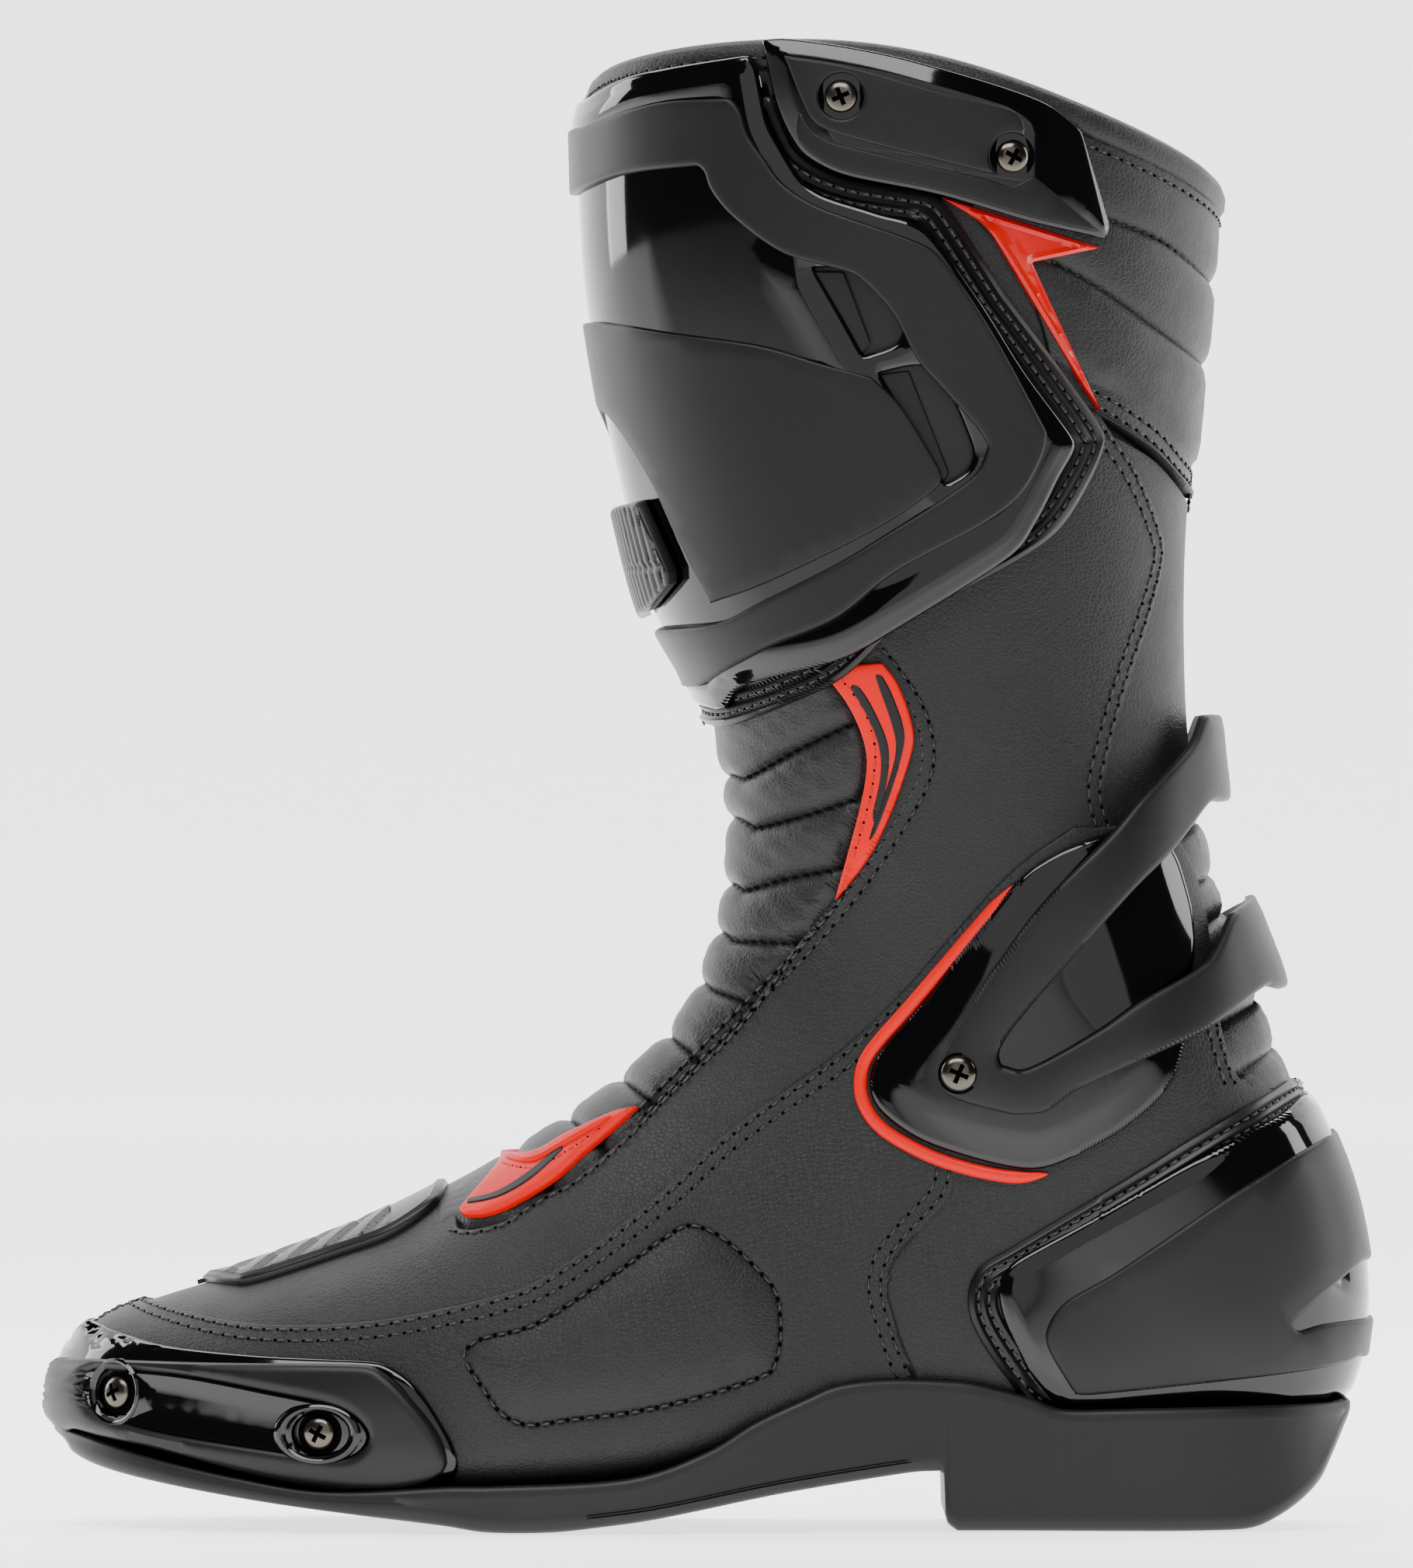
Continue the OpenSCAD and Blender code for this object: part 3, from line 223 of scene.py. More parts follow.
def resample(tp, step=1.5, closed=False):
    if closed:
        tp = np.vstack([tp, tp[:1]])
    p = base(tp[:, 0], tp[:, 1])
    s = np.concatenate([[0], np.cumsum(np.linalg.norm(np.diff(p, axis=0), axis=1))])
    keep = np.concatenate([[True], np.diff(s) > 1e-6])
    s, tp = s[keep], tp[keep]
    n = max(3 if closed else 1, int(round(s[-1] / step)))
    q = np.linspace(0, s[-1], n + 1)
    r = np.stack([np.interp(q, s, tp[:, 0]), np.interp(q, s, tp[:, 1])], -1)
    return r[:-1] if closed else r


def shifted(tp, d, closed=False):
    """The curve moved sideways over the surface by d millimetres, to the left as seen from outside."""
    tp = tp.copy()
    steps = max(1, int(math.ceil(abs(d) / 1.2)))
    for _ in range(steps):
        p, pt, pf, n = jets(tp[:, 0], tp[:, 1])
        if closed:
            tan = np.roll(p, -1, 0) - np.roll(p, 1, 0)
        else:
            tan = np.gradient(p, axis=0)
        tan /= np.maximum(np.linalg.norm(tan, axis=1, keepdims=True), 1e-9)
        m = np.cross(n, tan) * (d / steps)
        e, f, g = (pt * pt).sum(1), (pt * pf).sum(1), (pf * pf).sum(1)
        u, v = (pt * m).sum(1), (pf * m).sum(1)
        det = np.maximum(e * g - f * f, 1e-9)
        tp = tp + np.stack([(g * u - f * v) / det, (e * v - f * u) / det], -1)
    return tp


_ts = np.linspace(-0.5, LAST, 400)
_rs = section(np.clip(_ts, 0, LAST))
_len = np.maximum(0.35 * np.hypot(np.gradient(_rs[:, 0]), np.gradient(_rs[:, 1])), 0.02) + 0.5 * np.hypot(
    np.gradient(_rs[:, 2]), np.gradient(_rs[:, 3]))
_hs = np.cumsum(_len)
PER_DEG = 0.8


def flat(tp):
    return np.stack([tp[:, 1] * PER_DEG, np.interp(tp[:, 0], _ts, _hs)], -1)


def unflat(q):
    return np.stack([np.interp(q[:, 1], _hs, _ts), q[:, 0] / PER_DEG], -1)


def inside(q, poly):
    x, y = q[:, 0], q[:, 1]
    odd = np.zeros(len(q), bool)
    a, b = poly, np.roll(poly, -1, 0)
    for (x0, y0), (x1, y1) in zip(a, b):
        if y0 == y1:
            continue
        hit = ((y0 > y) != (y1 > y)) & (x < (x1 - x0) * (y - y0) / (y1 - y0) + x0)
        odd ^= hit
    return odd


def tree(points):
    kd = KDTree(len(points))
    for i, p in enumerate(points):
        kd.insert(p, i)
    kd.balance()
    return kd


def thin(points, fixed, gap):
    """Indices of the points that keep a gap to the earlier ones; the first ones always stay."""
    cells, kept = {}, []
    for i, (x, y) in enumerate(points.tolist()):
        a, b = int(x // gap), int(y // gap)
        if i >= fixed:
            around = [q for i2 in (-1, 0, 1) for j2 in (-1, 0, 1) for q in cells.get((a + i2, b + j2), ())]
            if any((x - u) ** 2 + (y - v) ** 2 < gap * gap for u, v in around):
                continue
        cells.setdefault((a, b), []).append((x, y))
        kept.append(i)
    return kept


def nearest(kd, points):
    return np.array([kd.find(p)[2] for p in points])


def gap_to(points, curves, step=0.6):
    """Distance on the base surface from points (N, 3) to the nearest of some curves."""
    samples = np.vstack([base(*resample(c, step).T) for c in curves])
    return nearest(tree(samples), points)


def link(mesh, name):
    ob = bpy.data.objects.new(name, mesh)
    bpy.context.scene.collection.objects.link(ob)
    return ob


def make_mesh(name, verts, faces, angle=38):
    me = bpy.data.meshes.new(name)
    me.from_pydata((np.asarray(verts) * MM).tolist(), [], [tuple(int(i) for i in f) for f in faces])
    me.validate()
    me.update()
    me.shade_smooth()
    if angle:
        me.set_sharp_from_angle(angle=math.radians(angle))
    return link(me, name)


def fix_normals(ob, merge=False):
    bm = bmesh.new()
    bm.from_mesh(ob.data)
    if merge:
        bmesh.ops.remove_doubles(bm, verts=bm.verts, dist=1e-6)
    bmesh.ops.recalc_face_normals(bm, faces=bm.faces)
    bm.to_mesh(ob.data)
    bm.free()


def strip(v0, count, around, loop=False):
    """Quads between rows of points that run around; loop joins the last row to the first."""
    faces = []
    for i in range(count if loop else count - 1):
        a, b = v0 + i * around, v0 + (i + 1) % count * around
        faces += [(a + j, a + (j + 1) % around, b + (j + 1) % around, b + j) for j in range(around)]
    return faces


def caps(v0, count, around):
    """The end faces of a strip."""
    last = v0 + (count - 1) * around
    return [tuple(range(v0, v0 + around))[::-1], tuple(range(last, last + around))]


EDGE_SAMPLE = 0.25  # spacing of the edge samples that distances are taken to
SNAP = 0.35  # a ring point this close to its ring's distance takes that distance
POINT_GAP = 0.38  # closest spacing of mesh points
ALONG_OFFSETS = (0, 0.5, -0.5, 1.1, -1.1, 2.0, -2.0)  # rows of points beside a followed curve


def panel(name, loop, lo, hi, rounding=0.7, cell=2.4, relief=None, along=(), holes=(), step=1.5, rings=()):
    """A closed piece cut to an outline on the surface, with rounded edges.
    relief(t, phi, d, p) adds to its outer face; along are curves that the mesh follows closely."""
    loops = [resample(np.asarray(loop, float), step, True)] + [resample(np.asarray(h, float), step * 0.7,
                                                                        True) for h in holes]
    pts, edges, faces, dist = [], [], [], []
    for k, lp in enumerate(loops):
        q = flat(lp)
        area = 0.5 * np.sum(q[:, 0] * np.roll(q[:, 1], -1) - np.roll(q[:, 0], -1) * q[:, 1])
        if area < 0:
            lp = lp[::-1]
        loops[k] = lp
    q0 = [flat(lp) for lp in loops]
    n0 = 0
    for q in q0:
        n = len(q)
        edges += [(n0 + i, n0 + (i + 1) % n) for i in range(n)]
        pts.append(q)
        dist.append(np.zeros(n))
        n0 += n
    poly_area = lambda qq: (inside(qq, q0[0]) if len(q0) == 1 else
                            inside(qq, q0[0]) & ~np.any([inside(qq, h) for h in q0[1:]], axis=0))
    edge3 = np.vstack([base(*resample(np.vstack([lp, lp[:1]]), EDGE_SAMPLE).T) for lp in loops])
    kd = tree(edge3)
    near = [0.12, 0.45, 1.0] if rounding > 0.3 else [1.0]
    sign = 1 if inside(flat(shifted(loops[0], 0.6, True)), q0[0]).mean() >= 0.5 else -1

    def add_points(tp, least, snap=None):
        """Points inside the outline that lie at least this far from its edge."""
        q = flat(tp)
        real = nearest(kd, base(tp[:, 0], tp[:, 1]))
        ok = poly_area(q) & (real > least)
        if snap is not None:
            real = np.where(np.abs(real - snap) < SNAP, snap, real)
        pts.append(q[ok])
        dist.append(real[ok])

    def add_rings(distances):
        for d in distances:
            for k, lp in enumerate(loops):
                s = shifted(lp, (sign if k == 0 else -sign) * d, True)
                add_points(s, 0.75 * d if d <= rounding else d - 0.12, d)

    add_rings([max(rounding, 0.3) * f for f in near])
    fixed = sum(len(q) for q in pts)
    for c in along:
        c = resample(c, step)
        for w in ALONG_OFFSETS:
            add_points(shifted(c, w) if w else c, rounding + 0.3)
    add_rings(rings)
    lo2, hi2 = q0[0].min(0), q0[0].max(0)
    gx = np.arange(lo2[0], hi2[0] + cell, cell)
    gy = np.arange(lo2[1], hi2[1] + cell, cell * 0.87)
    grid = np.array([(x + (j % 2) * cell / 2, y) for j, y in enumerate(gy) for x in gx])
    grid = grid[poly_area(grid)]
    if len(grid):
        tp = unflat(grid)
        p3 = base(tp[:, 0], tp[:, 1])
        real = nearest(kd, p3)
        ok = real > max([rounding, *rings]) + 0.45 * cell
        if along:
            near = gap_to(p3, [resample(c, step) for c in along])
            ok &= near > 2.0 + 0.3 * cell
        pts.append(grid[ok])
        dist.append(real[ok])
    allp = np.vstack(pts)
    alld = np.concatenate(dist)
    kept = thin(allp, fixed, POINT_GAP)
    allp, alld = allp[kept], alld[kept]
    out = delaunay_2d_cdt([Vector((float(x), float(y))) for x, y in allp], edges, [],
                          1 if len(q0) == 1 else 0, 1e-5)
    vs = np.array([(v.x, v.y) for v in out[0]])
    d = np.zeros(len(vs))
    onedge = np.zeros(len(vs), bool)
    nb = sum(len(q) for q in q0)
    for i, src in enumerate(out[3]):
        if src:
            d[i] = alld[src[0]]
            onedge[i] = min(src) < nb
    tris = list(out[2])
    if len(q0) > 1:
        cen = np.array([vs[list(f)].mean(0) for f in tris])
        ok = poly_area(cen)
        tris = [f for f, k in zip(tris, ok) if k]
    used = sorted({i for f in tris for i in f})
    remap = {v: i for i, v in enumerate(used)}
    vs, d, onedge = vs[used], d[used], onedge[used]
    tris = [tuple(remap[i] for i in f) for f in tris]
    tp = unflat(vs)
    p, _, _, nrm = jets(tp[:, 0], tp[:, 1])
    d = np.where(onedge, 0, d)
    r = max(rounding, 1e-3)
    e = np.clip(d / r, 0, 1)
    top = hi - r + r * np.sqrt(np.maximum(0, 1 - (1 - e) ** 2))
    if relief is not None:
        top = top + relief(tp[:, 0], tp[:, 1], d, p) * np.clip(d / max(r, 0.6), 0, 1)
    low = np.full(len(d), lo) if np.isscalar(lo) else lo(tp[:, 0], tp[:, 1])
    top = np.maximum(top, low + 0.15)
    up, dn = p + nrm * top[:, None], p + nrm * low[:, None]
    n = len(vs)
    faces = []
    # orientation: outward normal of the first triangle decides
    a, b, c = tris[0]
    flip = np.dot(np.cross(up[b] - up[a], up[c] - up[a]), nrm[a]) < 0
    count = {}
    for f in tris:
        if flip:
            f = f[::-1]
        faces.append(f)
        faces.append(tuple(n + i for i in f[::-1]))
        for i in range(3):
            count[(f[i], f[(i + 1) % 3])] = 1
    for (i, j) in list(count):
        if (j, i) not in count:
            faces.append((j, i, n + i, n + j))
    return make_mesh(name, np.vstack([up, dn]), faces)


def sweep(name, curve, profile, closed=False, step=1.2, taper=False):
    """A closed profile of (sideways, upwards) points carried along a curve on the surface."""
    curves = curve if isinstance(curve, list) else [curve]
    prof = np.asarray(profile, float)
    k = len(prof)
    verts, faces = [], []
    for c in curves:
        c = resample(c, step, closed)
        p, pt, pf, n = jets(c[:, 0], c[:, 1])
        tan = np.roll(p, -1, 0) - np.roll(p, 1, 0) if closed else np.gradient(p, axis=0)
        tan /= np.maximum(np.linalg.norm(tan, axis=1, keepdims=True), 1e-9)
        side_dir = np.cross(n, tan)
        side_dir /= np.maximum(np.linalg.norm(side_dir, axis=1, keepdims=True), 1e-9)
        m = len(p)
        size = np.ones(m)
        if taper:
            run = np.minimum(np.arange(m), np.arange(m)[::-1]) * step
            size = np.sqrt(np.clip(run / (taper * 1.0), 0.02, 1))
        v0 = len(verts)
        mid = prof.mean(0)
        for i in range(m):
            q = mid + (prof - mid) * size[i]
            verts += list(p[i] + q[:, :1] * side_dir[i] + q[:, 1:] * n[i])
        faces += strip(v0, m, k, closed)
        if not closed:
            faces += caps(v0, m, k)
    ob = make_mesh(name, np.array(verts), faces, 50)
    fix_normals(ob)
    return ob


def oval(half_width, half_height, at=(0, 0), n=10):
    return [(at[0] + half_width * math.cos(2 * math.pi * i / n),
             at[1] + half_height * math.sin(2 * math.pi * i / n)) for i in range(n)]


def standing(q, off, inner_side=False):
    """Origin and axes of a part that stands on the surface at a side view point."""
    tp = side([q, (q[0] + 0.01, q[1])], off=off)[:1]
    if inner_side:
        tp = mirror(tp)
    p, pt, _, n = jets(tp[:, 0], tp[:, 1])
    n = n[0]
    u = np.cross(n, (0, 0, 1.0))
    u /= np.linalg.norm(u)
    return p[0] + n * off, u, np.cross(n, u), n


def pan_head(name, places, radius=3.9, height=2.3, turn=0.4):
    """Pan heads with a cross recess; places are (origin, u, v, n)."""
    rings, spokes = 40, 112
    verts, faces = [], []
    for k, (o, u, v, n) in enumerate(places):
        v0 = len(verts)
        a0 = turn + 0.7 * k
        for i in range(rings + 1):
            f = i / rings
            r = radius * f
            for j in range(spokes):
                a = 2 * math.pi * j / spokes
                z = 0.35 + (height - 0.35) * (1 - f ** 2.6) ** 0.5
                x1, y1 = abs(r * math.cos(a - a0)), abs(r * math.sin(a - a0))
                arm = max(min((0.5 - y1) / 0.14, (0.55 * radius - x1) / 0.3),
                          min((0.5 - x1) / 0.14, (0.55 * radius - y1) / 0.3))
                z -= 1.45 * min(1, max(0, arm)) * (1 - 0.3 * f)
                verts.append(o + u * r * math.cos(a) + v * r * math.sin(a) + n * z)
        for j in range(spokes):
            a = 2 * math.pi * j / spokes
            verts.append(o + (u * math.cos(a) + v * math.sin(a)) * radius - n * 0.6)
        faces += strip(v0, rings + 2, spokes) + caps(v0, rings + 2, spokes)
    ob = make_mesh(name, np.array(verts), faces, 40)
    fix_normals(ob, merge=True)
    return ob


def turned(name, profile, o, u, v, n, spokes=64):
    """A turned part: (radius, height) profile about the axis n through o."""
    verts = []
    for r, h in profile:
        for j in range(spokes):
            a = 2 * math.pi * j / spokes
            verts.append(o + (u * math.cos(a) + v * math.sin(a)) * r + n * h)
    ob = make_mesh(name, np.array(verts), strip(0, len(profile), spokes, True), 40)
    fix_normals(ob)
    return ob


def wrapped(half, share=1.0):
    """Loop of a front piece: the outer half from phi 0 to phi 0, and its mirror image."""
    half = half.copy()
    half[0, 1] = half[-1, 1] = 0
    return np.vstack([half, mirror(half[::-1][1:-1], share)])


def back_mirror(tp):
    return np.stack([tp[:, 0], 360 - tp[:, 1]], -1)


def wrapped_back(half):
    """Loop of a piece that goes round the back: the outer half from phi 180 to phi 180, and its mirror image."""
    half = half.copy()
    half[0, 1] = half[-1, 1] = 180
    return np.vstack([half, back_mirror(half[::-1][1:-1])])


def screw_shadows(name, places, seat, radius, height, turn=0.4):
    """Painted shade: dark discs in the screw seats and dark crosses in the pan heads' cross recesses, standing for
    the shade in these hollows.
    """
    verts, faces = [], []

    def prism(o, n, ring, low, high):
        v0, m = len(verts), len(ring)
        verts.extend([o + q + n * low for q in ring] + [o + q + n * high for q in ring])
        faces.append(tuple(range(v0, v0 + m)))
        faces.append(tuple(range(v0 + 2 * m - 1, v0 + m - 1, -1)))
        faces.extend((v0 + i, v0 + (i + 1) % m, v0 + m + (i + 1) % m, v0 + m + i) for i in range(m))

    for k, (o, u, v, n) in enumerate(places):
        turns = [2 * math.pi * j / 48 for j in range(48)]
        prism(o, n, [(u * math.cos(a) + v * math.sin(a)) * seat for a in turns], -0.3, 0.12)
        a0, w, r = turn + 0.7 * k, 0.46, 0.5 * radius
        x, y = u * math.cos(a0) + v * math.sin(a0), v * math.cos(a0) - u * math.sin(a0)
        plus = [(r, -w), (r, w), (w, w), (w, r), (-w, r), (-w, w), (-r, w), (-r, -w), (-w, -w), (-w, -r),
                (w, -r), (w, -w)]
        prism(o, n, [x * a + y * b for a, b in plus], 0.2, height - 0.95)
    ob = make_mesh(name, np.array(verts), faces, 30)
    fix_normals(ob)
    return ob


# ---------------------------------------------------------------- thread
def stitches(name, curves, off, length=2.2, gap=1.15, radius=0.36, start=0.0):
    """Rows of separate stitches along curves; off is a number or a function of (t, phi)."""
    ring, rows = 6, [(-1.0, 0.25), (-0.72, 0.8), (0, 1.0), (0.72, 0.8), (1.0, 0.25)]
    verts, faces = [], []
    for c in curves:
        c = resample(c, 0.7)
        o = off(c[:, 0], c[:, 1]) if callable(off) else np.full(len(c), off)
        p, _, _, n = jets(c[:, 0], c[:, 1])
        p = p + n * o[:, None]
        s = np.concatenate([[0], np.cumsum(np.linalg.norm(np.diff(p, axis=0), axis=1))])
        if s[-1] < length + start:
            continue
        k = int((s[-1] - length - start) // (length + gap)) + 1
        for i in range(k):
            mid = start + i * (length + gap) + length / 2
            wob = rng.normal(0, 0.05, 3)
            at = lambda q: np.array([np.interp(q, s, p[:, j]) for j in range(3)])
            nn = np.array([np.interp(mid, s, n[:, j]) for j in range(3)])
            nn /= np.linalg.norm(nn)
            a, b = at(mid - length / 2), at(mid + length / 2)
            x = b - a
            x /= np.linalg.norm(x)
            y = np.cross(nn, x)
            z = np.cross(x, y)
            v0 = len(verts)
            for f, w in rows:
                cpt = (a + b) / 2 + x * f * length / 2 + z * (-0.28 * f * f) * radius * 2 + wob * 0.6
                for j in range(ring):
                    an = 2 * math.pi * j / ring
                    verts.append(cpt + (y * math.cos(an) + z * math.sin(an)) * radius * w)
            faces += strip(v0, len(rows), ring) + caps(v0, len(rows), ring)
    return make_mesh(name, np.array(verts), faces, 0)


# ---------------------------------------------------------------- materials
def linear(h):
    h = h.lstrip("#")
    v = [int(h[i:i + 2], 16) / 255 for i in (0, 2, 4)]
    return [x / 12.92 if x <= 0.04045 else ((x + 0.055) / 1.055) ** 2.4 for x in v] + [1.0]


def material(name, colour, rough, grain=(), metal=0.0, spec=0.5, coat=0.0, vary=0.12, rough_vary=0.0, weave=None,
             sheen=0.0):
    """Principled material in object coordinates. grain is a list of (kind, scale per metre, height in mm);
    weave is (pitch, height) in mm."""
    made = bpy.data.materials.new(name)
    made.use_nodes = True
    nt = made.node_tree
    nt.nodes.clear()

    def add(kind, values=(), wires=()):
        """A node with its (socket, value) settings and (socket, source) wires."""
        node = nt.nodes.new("ShaderNode" + kind)
        for socket, value in values:
            node.inputs[socket].default_value = value
        for socket, source in wires:
            nt.links.new(source, node.inputs[socket])
        return node

    base_colour = linear(colour)
    out = add("OutputMaterial")
    shader = add("BsdfPrincipled", (
        ("Base Color", base_colour), ("Roughness", rough), ("Metallic", metal), ("Specular IOR Level", spec),
        ("Coat Weight", coat), ("Coat Roughness", 0.06), ("Sheen Weight", sheen), ("Sheen Roughness", 0.5)))
    nt.links.new(shader.outputs[0], out.inputs[0])
    place = add("TexCoord").outputs["Object"]
    made.diffuse_color = base_colour

    def noise(scale, detail=3.0, roughness=0.55):
        values = (("Scale", scale), ("Detail", detail), ("Roughness", roughness))
        return add("TexNoise", values, (("Vector", place),)).outputs["Fac"]

    def ramp(source, lo, hi, a, b):
        values = (("From Min", lo), ("From Max", hi), ("To Min", a), ("To Max", b))
        return add("MapRange", values, (("Value", source),)).outputs["Result"]

    def tint(factor):
        return [min(1, x * factor) for x in base_colour[:3]] + [1]

    if vary:
        mix = add("Mix")
        mix.data_type = "RGBA"
        mix.inputs[6].default_value = tint(1 - vary)
        mix.inputs[7].default_value = tint(1 + vary)
        nt.links.new(ramp(noise(60.0, 4), 0.3, 0.7, 0, 1), mix.inputs[0])
        nt.links.new(mix.outputs[2], shader.inputs["Base Color"])
    if rough_vary:
        low, high = max(0.02, rough - rough_vary), rough + rough_vary
        nt.links.new(ramp(noise(45, 5, 0.65), 0.3, 0.7, low, high), shader.inputs["Roughness"])
    bumps = []

    def bump(source, height):
        wires = [("Height", source)] + [("Normal", b) for b in bumps[-1:]]
        bumps.append(add("Bump", (("Strength", 1.0), ("Distance", height * MM)), wires).outputs[0])

    for kind, scale, height in grain:
        if kind == "noise":
            bump(noise(scale, 2.5), height)
            continue
        cells = add("TexVoronoi", (("Scale", scale),))
        cells.feature = "DISTANCE_TO_EDGE"
        warp = add("TexNoise", (("Scale", scale * 0.5),), (("Vector", place),))
        moved = add("VectorMath")
        moved.operation = "MULTIPLY_ADD"
        moved.inputs[1].default_value = (0.6 / scale,) * 3
        nt.links.new(warp.outputs["Color"], moved.inputs[0])
        nt.links.new(place, moved.inputs[2])
        nt.links.new(moved.outputs[0], cells.inputs["Vector"])
        bump(ramp(cells.outputs["Distance"], 0.0, 0.18, 0, 1), height)
    if weave:
        pitch, height = weave
        x, _, z = add("SeparateXYZ", (), ((0, place),)).outputs

        def sums(operation, a, b):
            node = add("Math")
            node.operation = operation
            nt.links.new(a, node.inputs[0])
            if isinstance(b, float):
                node.inputs[1].default_value = b
            elif b is not None:
                nt.links.new(b, node.inputs[1])
            return node.outputs[0]

        turns = 2 * math.pi / (pitch * MM)
        waves = [sums("SINE", sums("MULTIPLY", sums(way, x, z), turns), None) for way in ("ADD", "SUBTRACT")]
        bump(sums("MULTIPLY", *waves), height)
    if bumps:
        nt.links.new(bumps[-1], shader.inputs["Normal"])
    return made


LEATHER = material("leather_black", "#141415", 0.52,
                   [("cracks", 900, 0.06), ("noise", 2600, 0.03), ("noise", 160, 0.12)], spec=0.34, vary=0.1,
                   rough_vary=0.05)
SOFT = material("leather_soft", "#131314", 0.48,
                [("cracks", 800, 0.05), ("noise", 2400, 0.03), ("noise", 110, 0.25)], spec=0.36, vary=0.1,
                rough_vary=0.05)
GLOSS = material("gloss_black", "#020203", 0.06, [("noise", 28, 0.05)], spec=0.42, coat=0.15, vary=0.15,
                 rough_vary=0.02)
SATIN = material("satin_black", "#0f0f10", 0.4, [("noise", 900, 0.012)], spec=0.28, vary=0.12,
                 rough_vary=0.04)
MATT = material("matt_black", "#0b0b0c", 0.46, [("noise", 3000, 0.012)], spec=0.3, vary=0.08, rough_vary=0.03)
FLANGE = material("flange_black", "#090909", 0.36, [("noise", 1800, 0.012)], spec=0.36, vary=0.1)
RUBBER = material("sole_rubber", "#0e0e0f", 0.46, [("noise", 1500, 0.02), ("noise", 90, 0.06)], spec=0.34,
                  vary=0.12, rough_vary=0.05)
RED = material("red_leather", "#d20000", 0.34, [("cracks", 1100, 0.015), ("noise", 300, 0.02)], spec=0.14,
               vary=0.04)
RED_GLOSS = material("red_gloss", "#c00000", 0.2, [("noise", 300, 0.01)], spec=0.35, vary=0.05)
RED_SOFT = material("red_moulded", "#d20000", 0.32, [("noise", 1500, 0.01)], spec=0.2, vary=0.04)
THREAD = material("thread_black", "#1b1b1c", 0.4, [("noise", 4000, 0.05)], spec=0.5, vary=0.2)
# Painted highlight: a lighter copy of the black thread for the stitches in the flange valleys, standing for their
# highlights.
THREAD_HIGHLIT = material("thread_painted_highlight", "#29292b", 0.42, [("noise", 4000, 0.05)], spec=0.5, vary=0.2)
THREAD_RED = material("thread_red", "#b41a16", 0.6, [("noise", 4000, 0.05)], spec=0.3, vary=0.15)
NICKEL = material("dark_nickel", "#57524b", 0.24, [("noise", 1500, 0.006)], metal=1.0, vary=0.15,
                  rough_vary=0.08)
# Painted shade: a near-black colour for the pieces that stand for the shade in needle holes, screw seats and cross
# recesses.
PAINTED_SHADE = material("painted_recess_shade", "#010101", 0.9, [("noise", 900, 0.01)], spec=0.05, vary=0.1)
STEEL = material("plain_steel", "#8a8b8d", 0.38, [("noise", 900, 0.01)], metal=1.0, vary=0.1)
MESH = material("woven_wire", "#d6d4cc", 0.34, [("noise", 2500, 0.01)], metal=1.0, vary=0.1)
LINING = material("lining_knit", "#2c2f33", 0.85, [("noise", 2500, 0.05)], spec=0.2, vary=0.15,
                  weave=(1.4, 0.12), sheen=0.3)
PAD_CLOTH = material("padding_cloth", "#55585c", 0.85, [("noise", 1500, 0.06)], spec=0.2, weave=(1.2, 0.1))
BOARD = material("fibre_board", "#6b5a45", 0.8, [("noise", 700, 0.05)], spec=0.2, vary=0.25)
STIFF = material("stiffener", "#8a8375", 0.6, [("noise", 600, 0.03)], spec=0.3)
BRONZE = material("bronze", "#9a8a55", 0.35, [("noise", 900, 0.01)], metal=1.0)
TAPE = material("zip_tape", "#1c1d20", 0.8, [("noise", 2500, 0.03)], spec=0.2, weave=(1.0, 0.12))
TREAD = material("tread_rubber", "#232426", 0.6, [("noise", 1200, 0.03)], spec=0.35, vary=0.12)


REPLACED = set()


def finish_piece(ob, mat, body, nodes=(), across=False):
    ob.data.materials.clear()
    ob.data.materials.append(mat)
    if across:
        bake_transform(ob)
    else:
        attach(ob, body)
    if nodes:
        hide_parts(*nodes)
        REPLACED.update(nodes)
    return ob


def seam(name, curves, off, body, thread=None, length=2.1, gap=1.35, radius=0.36, across=False):
    """Stitches, and dark pieces at the needle holes between them: painted shade in the holes."""
    finish_piece(stitches(name + "_stitches", curves, off, length, gap, radius), thread or THREAD, body,
                 across=across)
    # Painted shade: near-black pieces sit in the needle holes between the stitches.
    shade_length = min(1.1, gap)
    ob = stitches(name + "_needle_hole_shade", curves, off - 0.22, shade_length, length + gap - shade_length, radius + 0.12,
                  length + (gap - shade_length) / 2)
    finish_piece(ob, PAINTED_SHADE, body, across=across)


# ---------------------------------------------------------------- lines shared by several pieces
def rim(phi):
    ph = np.radians(phi)
    return 24.3 + (24.06 - 24.3) * (1 - np.cos(ph)) / 2 + 0.6 * np.abs(np.sin(ph)) ** 1.2


SHARE = 0.62
ACC_EDGE = [(-58.4, 69.7), (-54.5, 68.9), (-46.8, 70.8), (-42.9, 73.4), (-36.7, 77.3), (-31.3, 80),
            (-23.6, 86), (-16.7, 92.5), (-10.6, 98.8), (-3.8, 105.2), (3.4, 112), (9.8, 119.5), (16, 128),
            (23.5, 137.5), (29.6, 145), (33, 154), (35.7, 164.7), (37.2, 174.9), (36.4, 182), (33, 189.5),
            (29, 195), (24, 201)]
TOE_SEAM = [(-141.8, 53.2), (-135.8, 53), (-125.4, 50.4), (-111.5, 47.6), (-101.2, 46.6), (-87.3, 46.8),
            (-73.5, 48.2), (-59.6, 50.9), (-48, 53.8), (-39.1, 57), (-23.6, 67), (-8.2, 79.3), (3.4, 90),
            (15, 98.6), (31.2, 110.2), (44.6, 123), (56, 136), (70, 151), (84, 161)]
